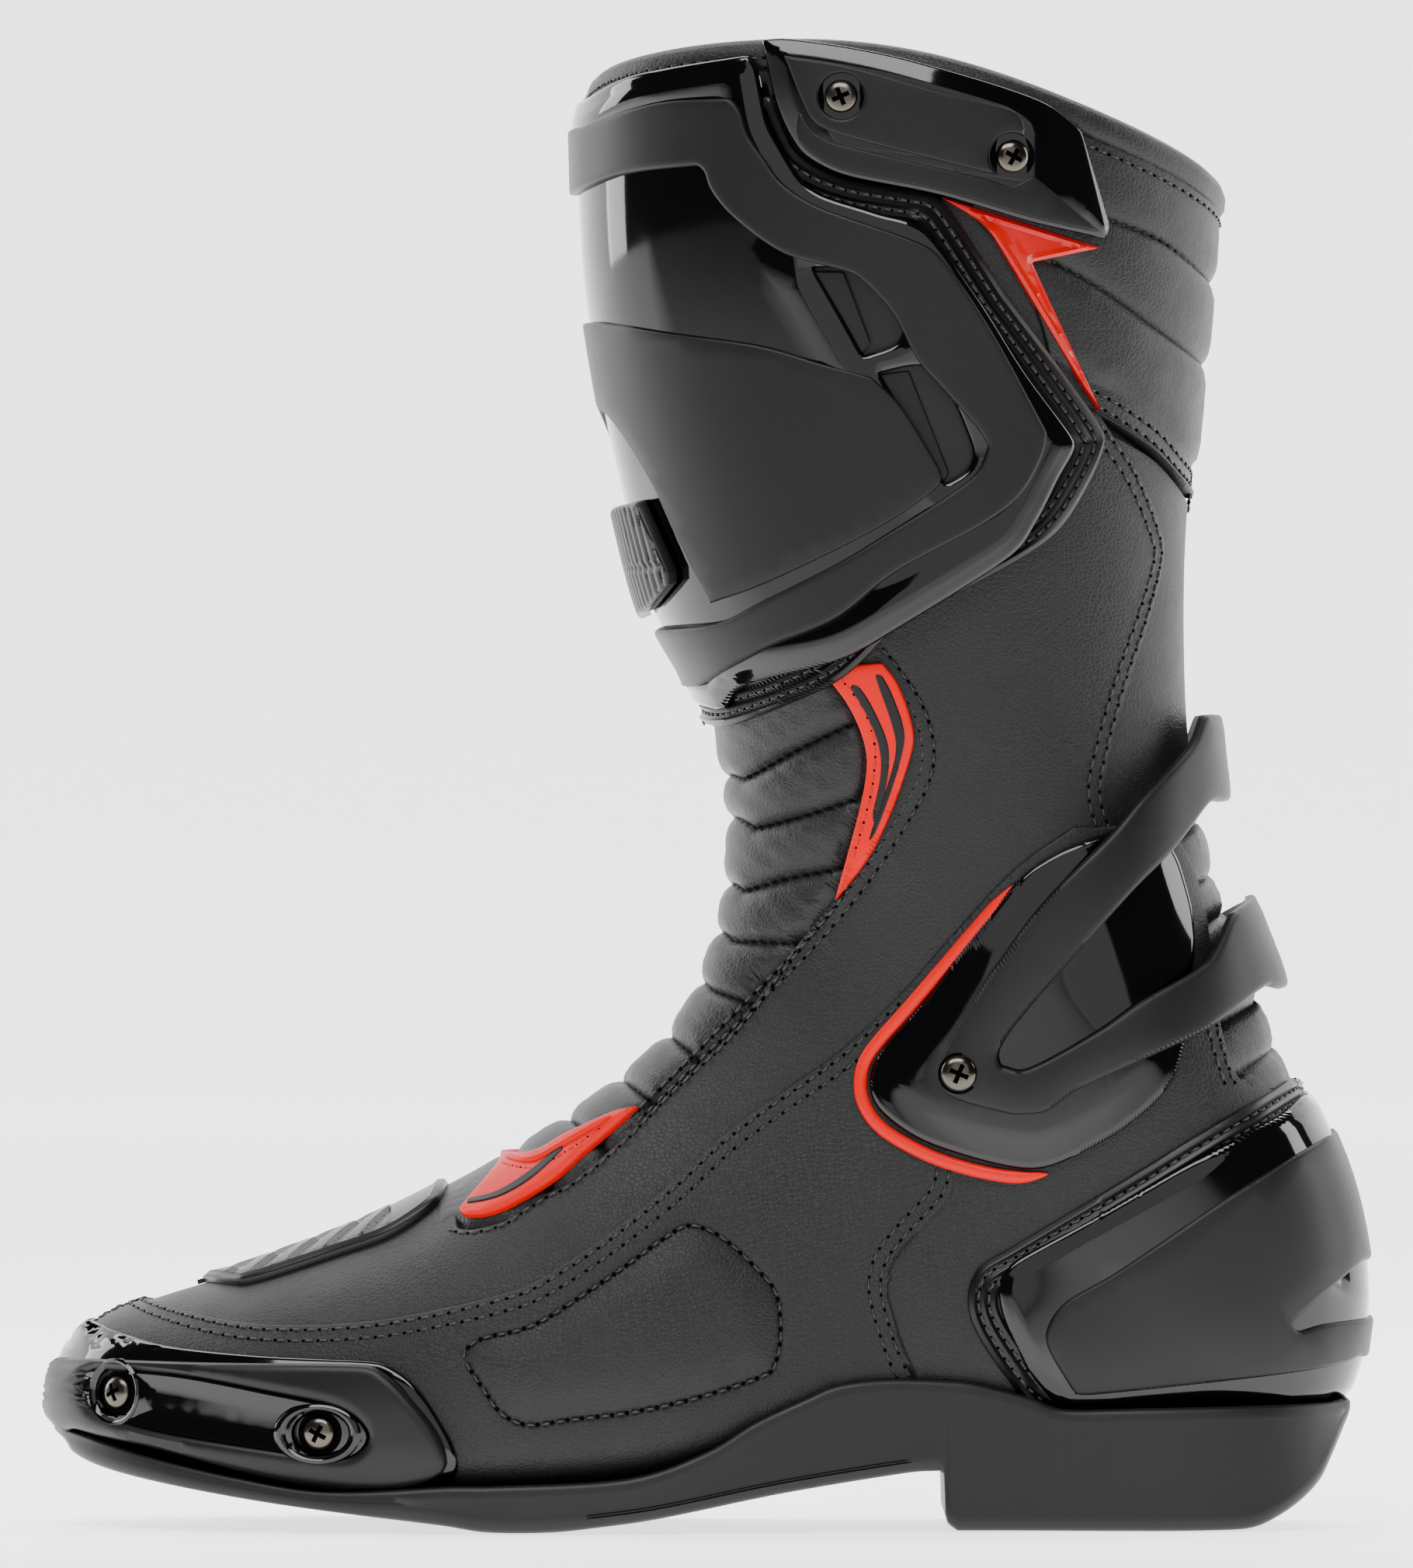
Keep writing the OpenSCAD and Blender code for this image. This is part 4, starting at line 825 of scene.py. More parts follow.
SEAM_A = [(-16, 93.4), (-10.6, 98.6), (9.8, 118.6), (23.5, 132.2), (37.1, 148.4), (47.3, 164.2),
          (51.3, 172.6), (51.8, 180.4), (49.1, 189.2), (43.7, 197.4), (40, 202)]
REAR_SEAM = [(78, 296), (81, 276), (90.8, 254.3), (98.8, 243.3), (104.4, 229.5), (105.2, 221.8),
             (101.7, 207.9), (96.8, 192.9), (92.8, 177.9), (91.3, 167.9), (94.8, 158)]
# ---------------------------------------------------------------- lower leather, round the toe and the heel
top_edge = side(TOE_SEAM)
top_edge[0, 1] = 0
rear_part = on_side([(104, 162), (108, 158), (112, 150), (114.5, 140), (115.5, 130), (117.5, 116),
                     (120.5, 105), (123, 101.5), (134, 101), (138.6, 99)])
rear_part[-1, 1] = 180
bottom_line = side([(148.5, 31), (130, 24), (100, 22), (80, 22), (62, 28), (42, 29), (30, 28), (11, 19),
                    (-3, 12), (-20, 8), (-48, 7), (-87, 6), (-108, 9), (-129, 14), (-145, 20), (-149, 25)])
bottom_line[0, 1] = 180
half = np.vstack([top_edge, rear_part, bottom_line])
loop = np.vstack([half, mirror(half[::-1])])
PAD = catmull([(-55.3, 39.7), (-54.5, 42), (-50.6, 44.3), (-39.1, 47.4), (-23.6, 57.1), (-8.2, 67.9),
               (-3.5, 69.8), (3.4, 67.1), (11.1, 60.2), (15.8, 54.4), (16.9, 46.6), (16.1, 39.7),
               (14.2, 36.2), (-0.5, 31.2), (-15.9, 27.7), (-31.3, 25.8), (-40.6, 24.6), (-46.8, 27.3),
               (-50.6, 32.4)], closed=True)
pad_line = on_side(PAD)
pad_closed = np.vstack([pad_line, pad_line[:1]])
FRONT_SEAM = [(57, 82), (55, 76), (45.9, 66), (42, 60.5), (41.2, 54.4), (44.5, 42.8), (48.5, 34)]
front_seam = side(FRONT_SEAM)
pad_kd = tree(base(*resample(pad_closed, 0.6).T))


def quarter_relief(t, phi, d, p):
    k = nearest(pad_kd, p)
    inn = inside(np.stack([p[:, 0], p[:, 2]], -1), PAD) & (p[:, 1] < 0)
    out = np.where(inn, 1.5 * (1 - np.exp(-(k / 5.0) ** 2)), 0) - 0.5 * np.exp(-(k / 0.9) ** 2)
    for m in (1, -1):
        g = gap_to(p, [front_seam * [1, m]])
        px = np.interp(p[:, 2], [30, 42, 54, 60, 66, 76, 82], [49, 44.5, 41.2, 42, 45.9, 55, 57])
        on = (p[:, 2] < 83) & (p[:, 1] * m < 5)
        behind = on & (p[:, 0] > px)
        out = out - np.where(behind, 0.75 * np.clip(g / 0.5, 0, 1) * np.exp(-np.maximum(0, g - 1) / 5), 0)
    return out


quarter = panel("quarter_leather", loop, -1.8, 0.9, 0.6, 2.6, quarter_relief,
                along=[pad_closed, front_seam, mirror(front_seam)])
finish_piece(quarter, LEATHER, None, ["quarter_lateral", "quarter_medial"], across=True)

# ---------------------------------------------------------------- toe box, instep strips and both sides of the shaft
acc = side(ACC_EDGE)
acc[0, 1] = 2.0
under = [(31.2, 106), (15, 94.4), (3.4, 85.8), (-8.2, 75), (-23.6, 62.8), (-39.1, 52.8), (-48, 49.6),
         (-59.6, 46.7), (-73.5, 44), (-87.3, 42.6), (-101.2, 42.4), (-111.5, 43.4), (-125.4, 46.2),
         (-136, 49), (-140, 50.4)]
low_edge = side([(94.8, 156), (84, 154), (70, 144), (56, 130), (44.6, 117)] + under)
low_edge[-1, 1] = 0
over_lat = side([(30, 205), (40, 208), (62, 222), (75, 234), (80, 247), (70, 262), (55, 285), (50, 299),
                 (58, 311), (70, 308), (78, 302)], sharp=range(11))
seam_lat = side(REAR_SEAM)
lateral_half = np.vstack([acc, over_lat, seam_lat, low_edge])
FLANGE_EDGE = [(-0.4, 184.3), (8.4, 185.2), (29.5, 194), (42.8, 206), (52.8, 211.9), (70.8, 221.8),
               (80.3, 228.8), (86.8, 238.8), (90.6, 247.8), (90.3, 251.8), (82.8, 262.8), (67.8, 282.8),
               (57.8, 298.3), (53.7, 303.6), (50, 305.6), (32.3, 308.6), (21.8, 313.5), (17.6, 319.8),
               (14.5, 328.1), (12.4, 338)]
flange_side = side(FLANGE_EDGE, sharp=(10, 13))


def zip_edge(t, k):
    f = (t - 19.6126) / (23.1966 - 19.6126)
    x = 70 + (66 - 70) * f + k * 7.3
    z = 182 + (290 - 182) * f
    return -on_side(np.stack([x, z], -1))[:, 1]


zt = np.linspace(24.35, 19.55, 40)
zip_front = np.stack([zt, zip_edge(zt, -1)], -1)
zip_back = np.stack([zt[::-1], zip_edge(zt[::-1], 1)], -1)
under_flange = mirror(flange_side, SHARE)
under_flange = under_flange[(under_flange[:, 0] > 19.3) & (under_flange[:, 0] < 24.1)]
under_flange = np.stack([under_flange[:, 0], under_flange[:, 1] + 7], -1)
seam_med = mirror(side([(90, 322), (86, 306), (84, 290), (86, 276), (93.5, 256)] + REAR_SEAM[3:]))
ends = mirror(acc)[::-1]
medial_half = np.vstack([mirror(low_edge)[::-1][1:], seam_med[::-1], zip_back[::-1], zip_front[::-1],
                         [[24.3, -66], [24.2, -52]], under_flange[::-1], ends])
loop = np.vstack([lateral_half, medial_half])
seam_a = side(SEAM_A)
upper_along = [seam_a, mirror(seam_a)]


def upper_relief(t, phi, d, p):
    g = gap_to(p, upper_along)
    return -0.35 * np.exp(-(g / 1.0) ** 2)


upper = panel("upper_leather", loop, -1.8, 0.0, 0.6, 2.6, upper_relief, along=upper_along)
finish_piece(upper, LEATHER, None,
             ["vamp", "shaft_leather_lateral", "shaft_leather_medial", "calf_leather_medial"], across=True)

# ---------------------------------------------------------------- rear panel of the shaft
rear_lat = side([(98, 158), (90.5, 161), (88.3, 168), (89.8, 178), (93.8, 193), (98.7, 208), (102.2, 222),
                 (101.5, 229), (95.8, 242), (88, 253.3)])
rear_top = side([(88, 253.3), (102, 246), (108.5, 240), (113, 234)])
rear_low = side([(116.5, 167), (111, 164.5), (104, 161.5), (98, 158)])
rear_top[-1, 1] = 180
rear_low[0, 1] = 180
part = np.vstack([rear_low, rear_lat, rear_top])
loop = np.vstack([part, back_mirror(part[::-1])])
rear = panel("rear_shaft_leather", loop, -2.6, -0.7, 0.5, 3.0)
finish_piece(rear, LEATHER, None, ["calf_lower_panel"], across=True)

# ---------------------------------------------------------------- ribbed stretch panels
ACC_TOP = (4, 190.5)
RIBS = [[(5.8, 170.7), (20.1, 178.3), (33.7, 184.5), (42, 188)],
        [(8.6, 160), (20.1, 162.7), (36.4, 167.8), (44, 170)],
        [(6, 145.8), (16.7, 148.7), (31.6, 151.4), (38, 153)],
        [(3.5, 135.1), (20.1, 134.1), (30, 133.5)],
        [(-1.5, 124.4), (7.8, 121.5), (17, 118)],
        [(-9.7, 113.7), (-3.1, 108.9), (5, 103)],
        [(-21, 104.5), (-14, 99.5), (-6, 93)],
        [(-33, 95.5), (-27, 91), (-20, 85)],
        [(-45, 87.5), (-40, 83), (-34, 77)]]


def across_front(points):
    c = side(points)
    c[0, 1] = 0
    return np.vstack([mirror(c[:0:-1]), c])


def pillows(lines, reach, depth):
    """Relief of a padded panel: full between the stitched lines and drawn in along them."""
    kd = tree(np.vstack([base(*resample(c, 0.6).T) for c in lines]))

    def f(t, phi, d, p):
        g = nearest(kd, p)
        e = np.clip(g / reach, 0, 1)
        wrinkle = 0.10 * np.sin(p[:, 1] * 0.9 + p[:, 2] * 0.35) * np.sin(p[:,
                                                                           2] * 1.3 + 1.7 * np.sin(p[:,
                                                                                                     1] * 0.31))
        return -depth * (1 - np.sqrt(1 - (1 - e) ** 2)) + wrinkle * np.clip(e * 2, 0, 1)
    return f


rib_lines = [across_front(r) for r in RIBS]
acc_out = shifted(side([(-60.5, 70.5)] + ACC_EDGE[1:-1] + [(22, 204)]), -2.6)
acc_out[0, 1] = 0
acc_top = side([(22, 204), (10, 196), ACC_TOP])
front_pillow = pillows(rib_lines, 5.0, 3.3)
edge_kd = tree(base(*resample(side(ACC_EDGE), 0.8).T))


def front_relief(t, phi, d, p):
    q = np.stack([p[:, 0], -np.abs(p[:, 1]), p[:, 2]], -1)
    g = nearest(edge_kd, q)
    return front_pillow(t, phi, d, p) - 1.9 * np.clip(1 - (g - 0.8) / 3.2, 0, 1) ** 1.6


half = np.vstack([acc_out, acc_top])
front_acc = panel("front_stretch_panel", wrapped(half), -4.9, 0.1, 0.5, 1.9, front_relief, along=rib_lines,
                  step=1.0, rings=(1.4, 2.6, 3.4, 4.4, 5.6, 7))
finish_piece(front_acc, SOFT, None, ["front_accordion"], across=True)

REAR_RIBS = [[(107, 158), (113, 161), (118.5, 164.3)], [(112, 147), (117, 149.5), (121.5, 152.3)],
             [(113.5, 137.3), (119, 140.5), (124, 144)], [(114.5, 126), (121, 129.5), (127, 133.5)],
             [(116, 114.5), (124, 118.7), (131, 122.8)], [(119, 102), (127, 107), (135, 112)]]


def round_the_back(points):
    c = side(points)
    c[-1, 1] = 180
    return np.vstack([c, back_mirror(c[:-1])[::-1]])


rear_lines = [round_the_back(r) for r in REAR_RIBS]
half = np.vstack([side([(117, 170), (110, 168), (103, 164)]),
                  side([(103, 164), (106, 158), (110, 149.5), (112.3, 140), (113.3, 130), (115, 116),
                        (118, 104), (121, 98)]), side([(121, 98), (130, 99.5), (138.5, 101)])])
rear_acc = panel("rear_stretch_panel", wrapped_back(half), -4.9, 0.2, 0.5, 1.9, pillows(rear_lines, 5.0, 2.9),
                 along=rear_lines)
finish_piece(rear_acc, SOFT, None, ["rear_accordion"], across=True)

# ---------------------------------------------------------------- padded calf panel and collar
CHANNELS = [[(78, 305), (93.4, 299.4), (105.4, 294.7), (117, 286)],
            [(70, 295), (78.2, 290.5), (89.7, 284.3), (105.4, 273.8), (115.5, 267)],
            [(76, 268), (85.8, 262.3), (94.8, 259.8), (102.7, 252.8), (113.5, 243.5)]]
channels = [round_the_back(c) for c in CHANNELS]
half = np.vstack([side([(113.6, 236.5), (108, 242), (101.5, 248), (89, 255.5), (80, 259)]),
                  side([(80, 259), (76, 276), (70, 290), (60, 303), (66, 322)]),
                  side([(66, 326.5), (82, 321), (104, 312), (118, 303.5)])])
band_edge = round_the_back([(80, 259), (89, 255.5), (101.5, 248), (108, 242), (113.6, 236.5)])
calf_pillow = pillows(channels, 6.0, 2.6)


def calf_pad_relief(t, phi, d, p):
    full = np.clip((gap_to(p, [band_edge]) - 6.2) / 1.6, 0, 1)
    return full * calf_pillow(t, phi, d, p) - (1 - full) * 1.75


calf = panel("calf_padding", wrapped_back(half), -4.6, 1.3, 1.0, 2.4, calf_pad_relief, along=channels)
finish_piece(calf, SOFT, "shaft", ["calf_panel"])

ph = np.linspace(-101, 241, 260)
collar_line = np.stack([rim(ph), ph], -1)
roll = [(-6.3, 0.2), (-6.15, 1.3), (-4.8, 2.2), (-2.6, 2.4), (-0.8, 1.7), (0.3, 0.4), (0.6, -1.4),
        (0.3, -3.0), (-0.9, -4.5), (-3.2, -5.1), (-5.6, -5.0), (-6.6, -4.4), (-6.4, -2)]
d = shifted(collar_line[100:103], 1.0)[1] - collar_line[101]
up = 1 if d[0] > 0 else -1
collar = sweep("collar_roll", collar_line, [(up * a, b) for a, b in roll], step=1.6)
finish_piece(collar, SOFT, "shaft", ["collar"])

# ---------------------------------------------------------------- red trims
INSTEP = [(27.9, 195.4), (30.3, 198), (40.2, 198.5), (43.9, 193.3), (47, 184.5), (47, 178.3), (42.5, 164.7),
          (37.1, 153.8), (29.8, 144.2), (35.2, 164.7), (36.9, 174.9), (35.9, 181.7), (32.5, 189.2)]
INSTEP_LINES = [[(33.3, 193.2), (34.8, 193.6), (38, 189), (41.5, 181), (42, 175), (41, 168.5), (39, 162),
                 (38.4, 164), (40, 172), (40, 178), (38, 184.5)],
                [(38.8, 195.6), (40.2, 195.8), (43, 190.5), (45.3, 183.5), (45.1, 178.5), (42.6, 169.5),
                 (39.2, 160.3), (37.6, 158), (38.8, 162.5), (41.6, 170.5), (43.5, 178.5), (42.6, 184.5)]]
VAMP_TRIM = [(-15.7, 96.2), (-20.5, 95.1), (-31.3, 90.1), (-39.1, 85.8), (-46.8, 85.1), (-47.4, 82.9),
             (-56.4, 72.5), (-54.5, 71.3), (-46.8, 72.9), (-35.2, 79.5), (-27.5, 86.1), (-20.5, 92)]
VAMP_LINE = [(-54.2, 73.5), (-47, 75.2), (-39.5, 79.5), (-32.2, 86.2), (-33, 86.8), (-40.4, 80.8),
             (-47.4, 76.5), (-54, 74.5)]
for nm, m in (("outer", 1), ("inner", -1)):
    lp = side(INSTEP, sharp=(0, 1, 2, 8), closed=True, step=1.0) * [1, m]
    trim = panel("instep_trim_" + nm, lp, -0.6, 1.5, 0.5, 1.6, step=1.0)
    finish_piece(trim, RED, None, ["instep_trim"], across=True)
    for k, ln in enumerate(INSTEP_LINES):
        bar = panel("instep_inlay_%s_%d" % (nm, k), side(ln, closed=True, step=0.8) * [1, m], 0.9, 1.75, 0.25,
                    1.2, step=0.7)
        finish_piece(bar, MATT, None, ["instep_trim"], across=True)
    lp = side(VAMP_TRIM, sharp=(0, 4, 6), closed=True, step=1.0) * [1, m]
    trim = panel("vamp_trim_" + nm, lp, -0.3, 1.5, 0.5, 1.6, step=1.0)
    finish_piece(trim, RED, "foot", ["vamp_trim"])
    bar = panel("vamp_inlay_" + nm, side(VAMP_LINE, closed=True, step=0.8) * [1, m], 0.9, 1.8, 0.25, 1.2,
                step=0.7)
    finish_piece(bar, MATT, "foot", ["vamp_trim"])
    welt = sweep("vamp_welt_" + nm, side([(-45.5, 84.3), (-39.1, 83.6), (-31, 88), (-21.5, 93.6)]) * [1, m],
                 oval(0.9, 0.9, (0, 1.6)), taper=3)
    finish_piece(welt, RED, "foot", ["vamp_trim"])
CHEVRON = [(53.2, 304.6), (89.4, 293.3), (73.8, 289.8), (89.4, 256.2), (84.5, 263.4), (66, 294.2), (62, 299)]


def chevron_relief(t, phi, d, p):
    crease = 0.3 * np.exp(-(gap_to(p, [chevron_crease]) / 0.5) ** 2)
    return 0.55 * np.clip(1 - np.abs(d - 0.9) / 0.55, 0, 1) - 0.35 * np.clip((d - 1.4) / 0.5, 0, 1) + crease


chevron_crease = side([(57, 302), (68, 295.5), (76, 284), (86, 263)], off=1.5)
chev = panel("calf_chevron_red", side(CHEVRON, sharp=(0, 1, 2, 3), closed=True, step=0.7), -0.5, 1.9, 0.4,
             0.9, chevron_relief, step=0.7, rings=(0.45, 0.9, 1.4, 1.9))
finish_piece(chev, RED_GLOSS, "shaft", ["calf_chevron"])

# ---------------------------------------------------------------- shin armour
def ridges(places, height, width=0.5):
    def f(t, phi, d, p):
        return height * sum(np.exp(-((d - k) / width) ** 2) for k in places)
    return f


ridge_rings = np.arange(0.9, 8.2, 0.42)
flange_half = np.vstack([side([(-1.6, 186), (2, 184.2)] + FLANGE_EDGE[1:], sharp=(12, 15), off=1.6)[:-3],
                         [[rim(62) - 0.35, 62], [24.0, 40], [23.95, 20], [23.9, 0]]])
flange = panel("shin_flange_ridged", wrapped(flange_half, SHARE), 0.2, 2.4, 0.5, 7,
               ridges((1.25, 3.85, 6.5), 0.95), rings=ridge_rings, step=1.1)
finish_piece(flange, FLANGE, "shaft", ["shin_flange"])

PLATE = [(-29.9, 327.6), (-20, 332.3), (-9.5, 334.4), (9.3, 336.9), (11.1, 333.3), (13.5, 321.9),
         (16.1, 316.6), (20.8, 309.3), (26, 305.1), (38.5, 301), (50, 296.8), (61.8, 281.8), (72.8, 264.8),
         (84.1, 249.8), (84.3, 246.8), (80.8, 240.5), (75.8, 230.8), (69.5, 222.5), (43.6, 206.1),
         (29.5, 198.6), (8.4, 193.1), (3, 188), (-1.8, 188.6)]
VENTS = [[(24.3, 288.3), (30.6, 288.3), (33.4, 287.3), (38.8, 282.6), (44.3, 276.4), (44.5, 273.2),
          (42.6, 270.7), (35.9, 268.3), (31, 277)],
         [(39.5, 264.3), (45.9, 265.8), (50.5, 265.7), (52.8, 263.6), (56.6, 257.4), (60.7, 247.4),
          (60.6, 244.3), (59, 241.8), (54.6, 239.2), (47, 252)]]
plate_holes = [side(v, sharp=(0, 7) if k == 0 else (0, 8), closed=True, step=1.0, off=4.5) for k,
               v in enumerate(VENTS)]


def plate_relief(t, phi, d, p):
    return 0.8 * np.clip((d - 1.5) / 3.0, 0, 1) - 1.1 * np.clip((d - 6.5) / 3.0, 0, 1)


plate = panel("shin_plate_gloss", wrapped(side(PLATE, sharp=(3,), off=5), SHARE), 2.5, 5.0, 1.3, 3.2,
              plate_relief, holes=plate_holes, rings=(2.2, 3.2, 4.4, 5.8, 7.2, 8.6, 10), step=1.3)
finish_piece(plate, GLOSS, "shaft", ["shin_plate"])

FRAME_OUT = [(-30.2, 321.3), (-20, 324.5), (-9.5, 326.6), (5.1, 327.1), (7.7, 323.9), (9.3, 318.7),
             (13.5, 312.5), (17.6, 307.2), (26, 302), (49, 293.7), (55.2, 288.4), (65.7, 272.8),
             (77.8, 250.8), (76.8, 245.8), (71.8, 236.8), (62.8, 229.8), (42.8, 218.9), (29.5, 208.6),
             (14.8, 202.3), (8.4, 198.8), (-2.8, 193.1), (-7, 194)]
FRAME_IN = [(-32, 306.7), (-20, 310.4), (-2.2, 311.9), (-0.6, 310.4), (0.9, 306.2), (6.1, 299.9),
            (17.6, 291.6), (32.3, 287.3), (36.4, 284.6), (42.7, 277.5), (47.9, 267.5), (53.8, 260.8),
            (61.8, 251.8), (64.3, 247.8), (61.8, 241.8), (54.8, 236.3), (42.8, 228.8), (29.5, 220.9),
            (11.9, 212.2), (2, 207.5), (-12, 206)]
ring = panel("shin_frame_matt", wrapped(side(FRAME_OUT, sharp=(3, 12), off=6.5), SHARE), 4.2, 6.8, 0.8, 3.0,
             holes=[wrapped(side(FRAME_IN, sharp=(2, 13), off=6.5), SHARE)], step=1.3, rings=(1.8, 3.0))
finish_piece(ring, MATT, "shaft", ["shin_frame"])

INSERT = [(-27, 277), (-9.5, 273.8), (11.4, 270.7), (26, 266.5), (37.5, 263.4), (44.5, 256.5), (53.4, 242.2),
          (53.1, 238.9), (43.6, 231.8), (29.5, 224.1), (11.9, 216), (0.7, 212.1), (-5.7, 224.8),
          (-12.7, 239.6), (-20.5, 252.5), (-26, 259)]
insert = panel("shin_insert_matt", wrapped(side(INSERT, sharp=(4, 6, 11), off=6), SHARE), 4.2, 6.3, 0.6, 3.2)
finish_piece(insert, MATT, "shaft", ["shin_insert"])


BLADES = [[(22.6, 287.6), (31.3, 287.5), (37.5, 271.2), (34.6, 267.8)],
          [(38, 264), (46.2, 264.8), (55.4, 241.8), (53.6, 238.6)]]
BLADE_LEVELS = [(3.4, 3.95, 0.25), (2.65, 3.6, 0.45)]  # inner face, outer face, edge rounding


def woven(name, outline, off, pitch=0.95, radius=0.2):
    """Wire cloth over an outline: two families of wires that pass over and under each other."""
    q = catmull(outline, closed=True, step=0.6)
    u = np.array([0.55, 0.835])
    w = np.array([u[1], -u[0]])
    verts, faces = [], []
    for fam, (a, b) in enumerate(((u, w), (w, u))):
        sa, sb = q @ a, q @ b
        for k in range(int(sb.min() // pitch), int(sb.max() // pitch) + 1):
            s = np.arange(sa.min(), sa.max(), pitch / 4)
            line = s[:, None] * a + (k + 0.5) * pitch * b
            ok = inside(line, q)
            start = None
            for i in range(len(s) + 1):
                on = i < len(s) and ok[i]
                if on and start is None:
                    start = i
                if not on and start is not None:
                    if i - start > 3:
                        seg = line[start:i]
                        tp = on_side(seg)
                        p, _, _, n = jets(tp[:, 0], tp[:, 1])
                        wave = np.sin(math.pi * s[start:i] / pitch) * (1 if (k + fam) % 2 else -1) * radius * 0.95
                        p = p + n * (off + wave)[:, None]
                        tan = np.gradient(p, axis=0)
                        tan /= np.linalg.norm(tan, axis=1, keepdims=True)
                        sd = np.cross(n, tan)
                        v0 = len(verts)
                        for j in range(len(p)):
                            for e in range(6):
                                an = math.pi * e / 3
                                verts.append(p[j] + (sd[j] * math.cos(an) + n[j] * math.sin(an)) * radius)
                        faces += strip(v0, len(p), 6) + caps(v0, len(p), 6)
                    start = None
    ob = make_mesh(name, np.array(verts), faces, 0)
    fix_normals(ob)
    return ob


CLOTH = [[(28, 290), (34, 289.5), (40, 284), (46.5, 277), (46, 271), (42, 267), (36, 266)],
         [(43, 267), (52, 267), (58, 259), (63, 248), (62, 240), (57, 237), (51, 243)]]
for k in (0, 1):
    ob = woven("vent_cloth_%d" % k, CLOTH[k], 1.6)
    finish_piece(ob, MESH, "shaft", ["vent_mesh"])
    blade = side(BLADES[k], sharp=(0, 1, 2, 3), closed=True, off=3.5, step=1.0)
    ob = panel("vent_blade_%d" % k, blade, *BLADE_LEVELS[k], 1.8, step=1.0)
    finish_piece(ob, MATT, "vent_blades", ["vent_shutter"])

# ---------------------------------------------------------------- upper outer plate
CALF_PLATE = [(12.2, 340.3), (17.6, 340.6), (34.3, 338.2), (50, 334.6), (76.1, 326.6), (86.2, 319.8),
              (92.8, 298.4), (91.6, 295.2), (88.1, 295.9), (74, 298.9), (53.1, 304.8), (32.3, 309),
              (23.9, 312.7), (19.7, 316.8), (15.5, 326)]
CALF_INLAY = [(17.6, 336.6), (32.3, 334.2), (53.1, 328.4), (69.9, 324.1), (72.7, 320.8), (71.3, 312.7),
              (67.8, 309.6), (63.6, 310), (32.3, 317.9), (24.9, 321), (21.8, 326)]


CALF_BAND = [(21.3, 323.7), (24.3, 319.4), (30, 316.4), (64.8, 308.2), (69.5, 307), (74.6, 309.4),
             (90.1, 296.7), (88, 296.9), (74, 299.9), (53.1, 305.8), (32.3, 310), (24.4, 313.7), (20.7, 318)]
CALF_SCREWS = [(30.7, 327.3), (69.6, 313.7)]


def disc(q, radius, off, stretch=1.0):
    """A round or oval outline on the surface about a side view point."""
    a = np.linspace(0, 2 * math.pi, 36, endpoint=False)
    return side([(q[0] + radius * stretch * math.cos(k), q[1] + radius * math.sin(k)) for k in a],
                closed=True, step=0.8, off=off)


def calf_relief(t, phi, d, p):
    return 1.5 * np.clip((d - 0.4) / 4.2, 0, 1)


ob = panel("calf_plate_gloss", side(CALF_PLATE, sharp=(0, 5, 6), closed=True, off=4.5), 1.6, 3.6, 0.6, 3.0,
           calf_relief, rings=(0.9, 1.8, 2.8, 3.8, 4.8))
finish_piece(ob, GLOSS, "shaft", ["calf_plate"])
ob = panel("calf_band_matt", side(CALF_BAND, sharp=(5, 6), closed=True, off=5.5), 3.6, 5.5, 0.5, 3.0,
           step=1.0)
finish_piece(ob, MATT, "shaft", ["calf_plate"])
ob = panel("calf_inlay_matt", side(CALF_INLAY, sharp=(0, 4), closed=True, off=6), 4.2, 6.3, 0.7, 3.0,
           holes=[disc(q, 5.3, 6) for q in CALF_SCREWS])
finish_piece(ob, MATT, "shaft", ["calf_inlay"])
calf_places = [standing(q, 4.9) for q in CALF_SCREWS]
# Painted shade in the calf screw seats and cross recesses.
ob = screw_shadows("calf_screw_seat_shade", calf_places, 5.25, 3.8, 2.3)
finish_piece(ob, PAINTED_SHADE, "shaft", ["calf_screws"])
ob = pan_head("calf_pan_heads", calf_places, 3.8)
finish_piece(ob, NICKEL, "shaft", ["calf_screws"])

# ---------------------------------------------------------------- ankle cups, piping and brace
CUP = [(97, 160.5), (87.9, 158.2), (79, 154.3), (70, 147.6), (58.7, 134), (49.7, 121.4), (40, 110),
       (37.2, 103.9), (39, 97), (47.5, 90.2), (58.7, 85.8), (70, 83), (77.5, 83), (84.9, 85.8), (96.2, 92.5),
       (105.9, 101.5), (109.9, 111.4), (112.3, 127.9), (112.6, 136.9), (111.2, 146.1), (106.7, 157)]
PIPING = [(70.2, 147.6), (61, 137), (47.5, 121.2), (37.4, 109.4), (35.2, 103.2), (36.2, 97.2), (40.6, 91.6),
          (51.2, 85.7), (62.5, 82.2), (71.5, 80.9), (78, 81.6)]


def cup_relief(t, phi, d, p):
    return 0.9 * np.clip(d / 8.5, 0, 1) ** 1.3


for nm, m in (("lateral", 1), ("medial", -1)):
    ob = panel("ankle_cup_" + nm + "_gloss", side(CUP, sharp=(13,), closed=True, off=3) * [1, m], 0.5, 2.7,
               1.2, 2.0, cup_relief, rings=(1.8, 2.6, 3.6, 4.8, 6.2, 8, 9.5), step=0.9)
    finish_piece(ob, GLOSS, "foot", ["ankle_cup_" + nm])
    ob = sweep("ankle_piping_" + nm + "_cord", side(PIPING, off=1.4) * [1, m],
               oval(1.55, 1.25, (0, 1.35), 14), taper=7)
    finish_piece(ob, RED_SOFT, "foot", ["ankle_piping_" + nm])

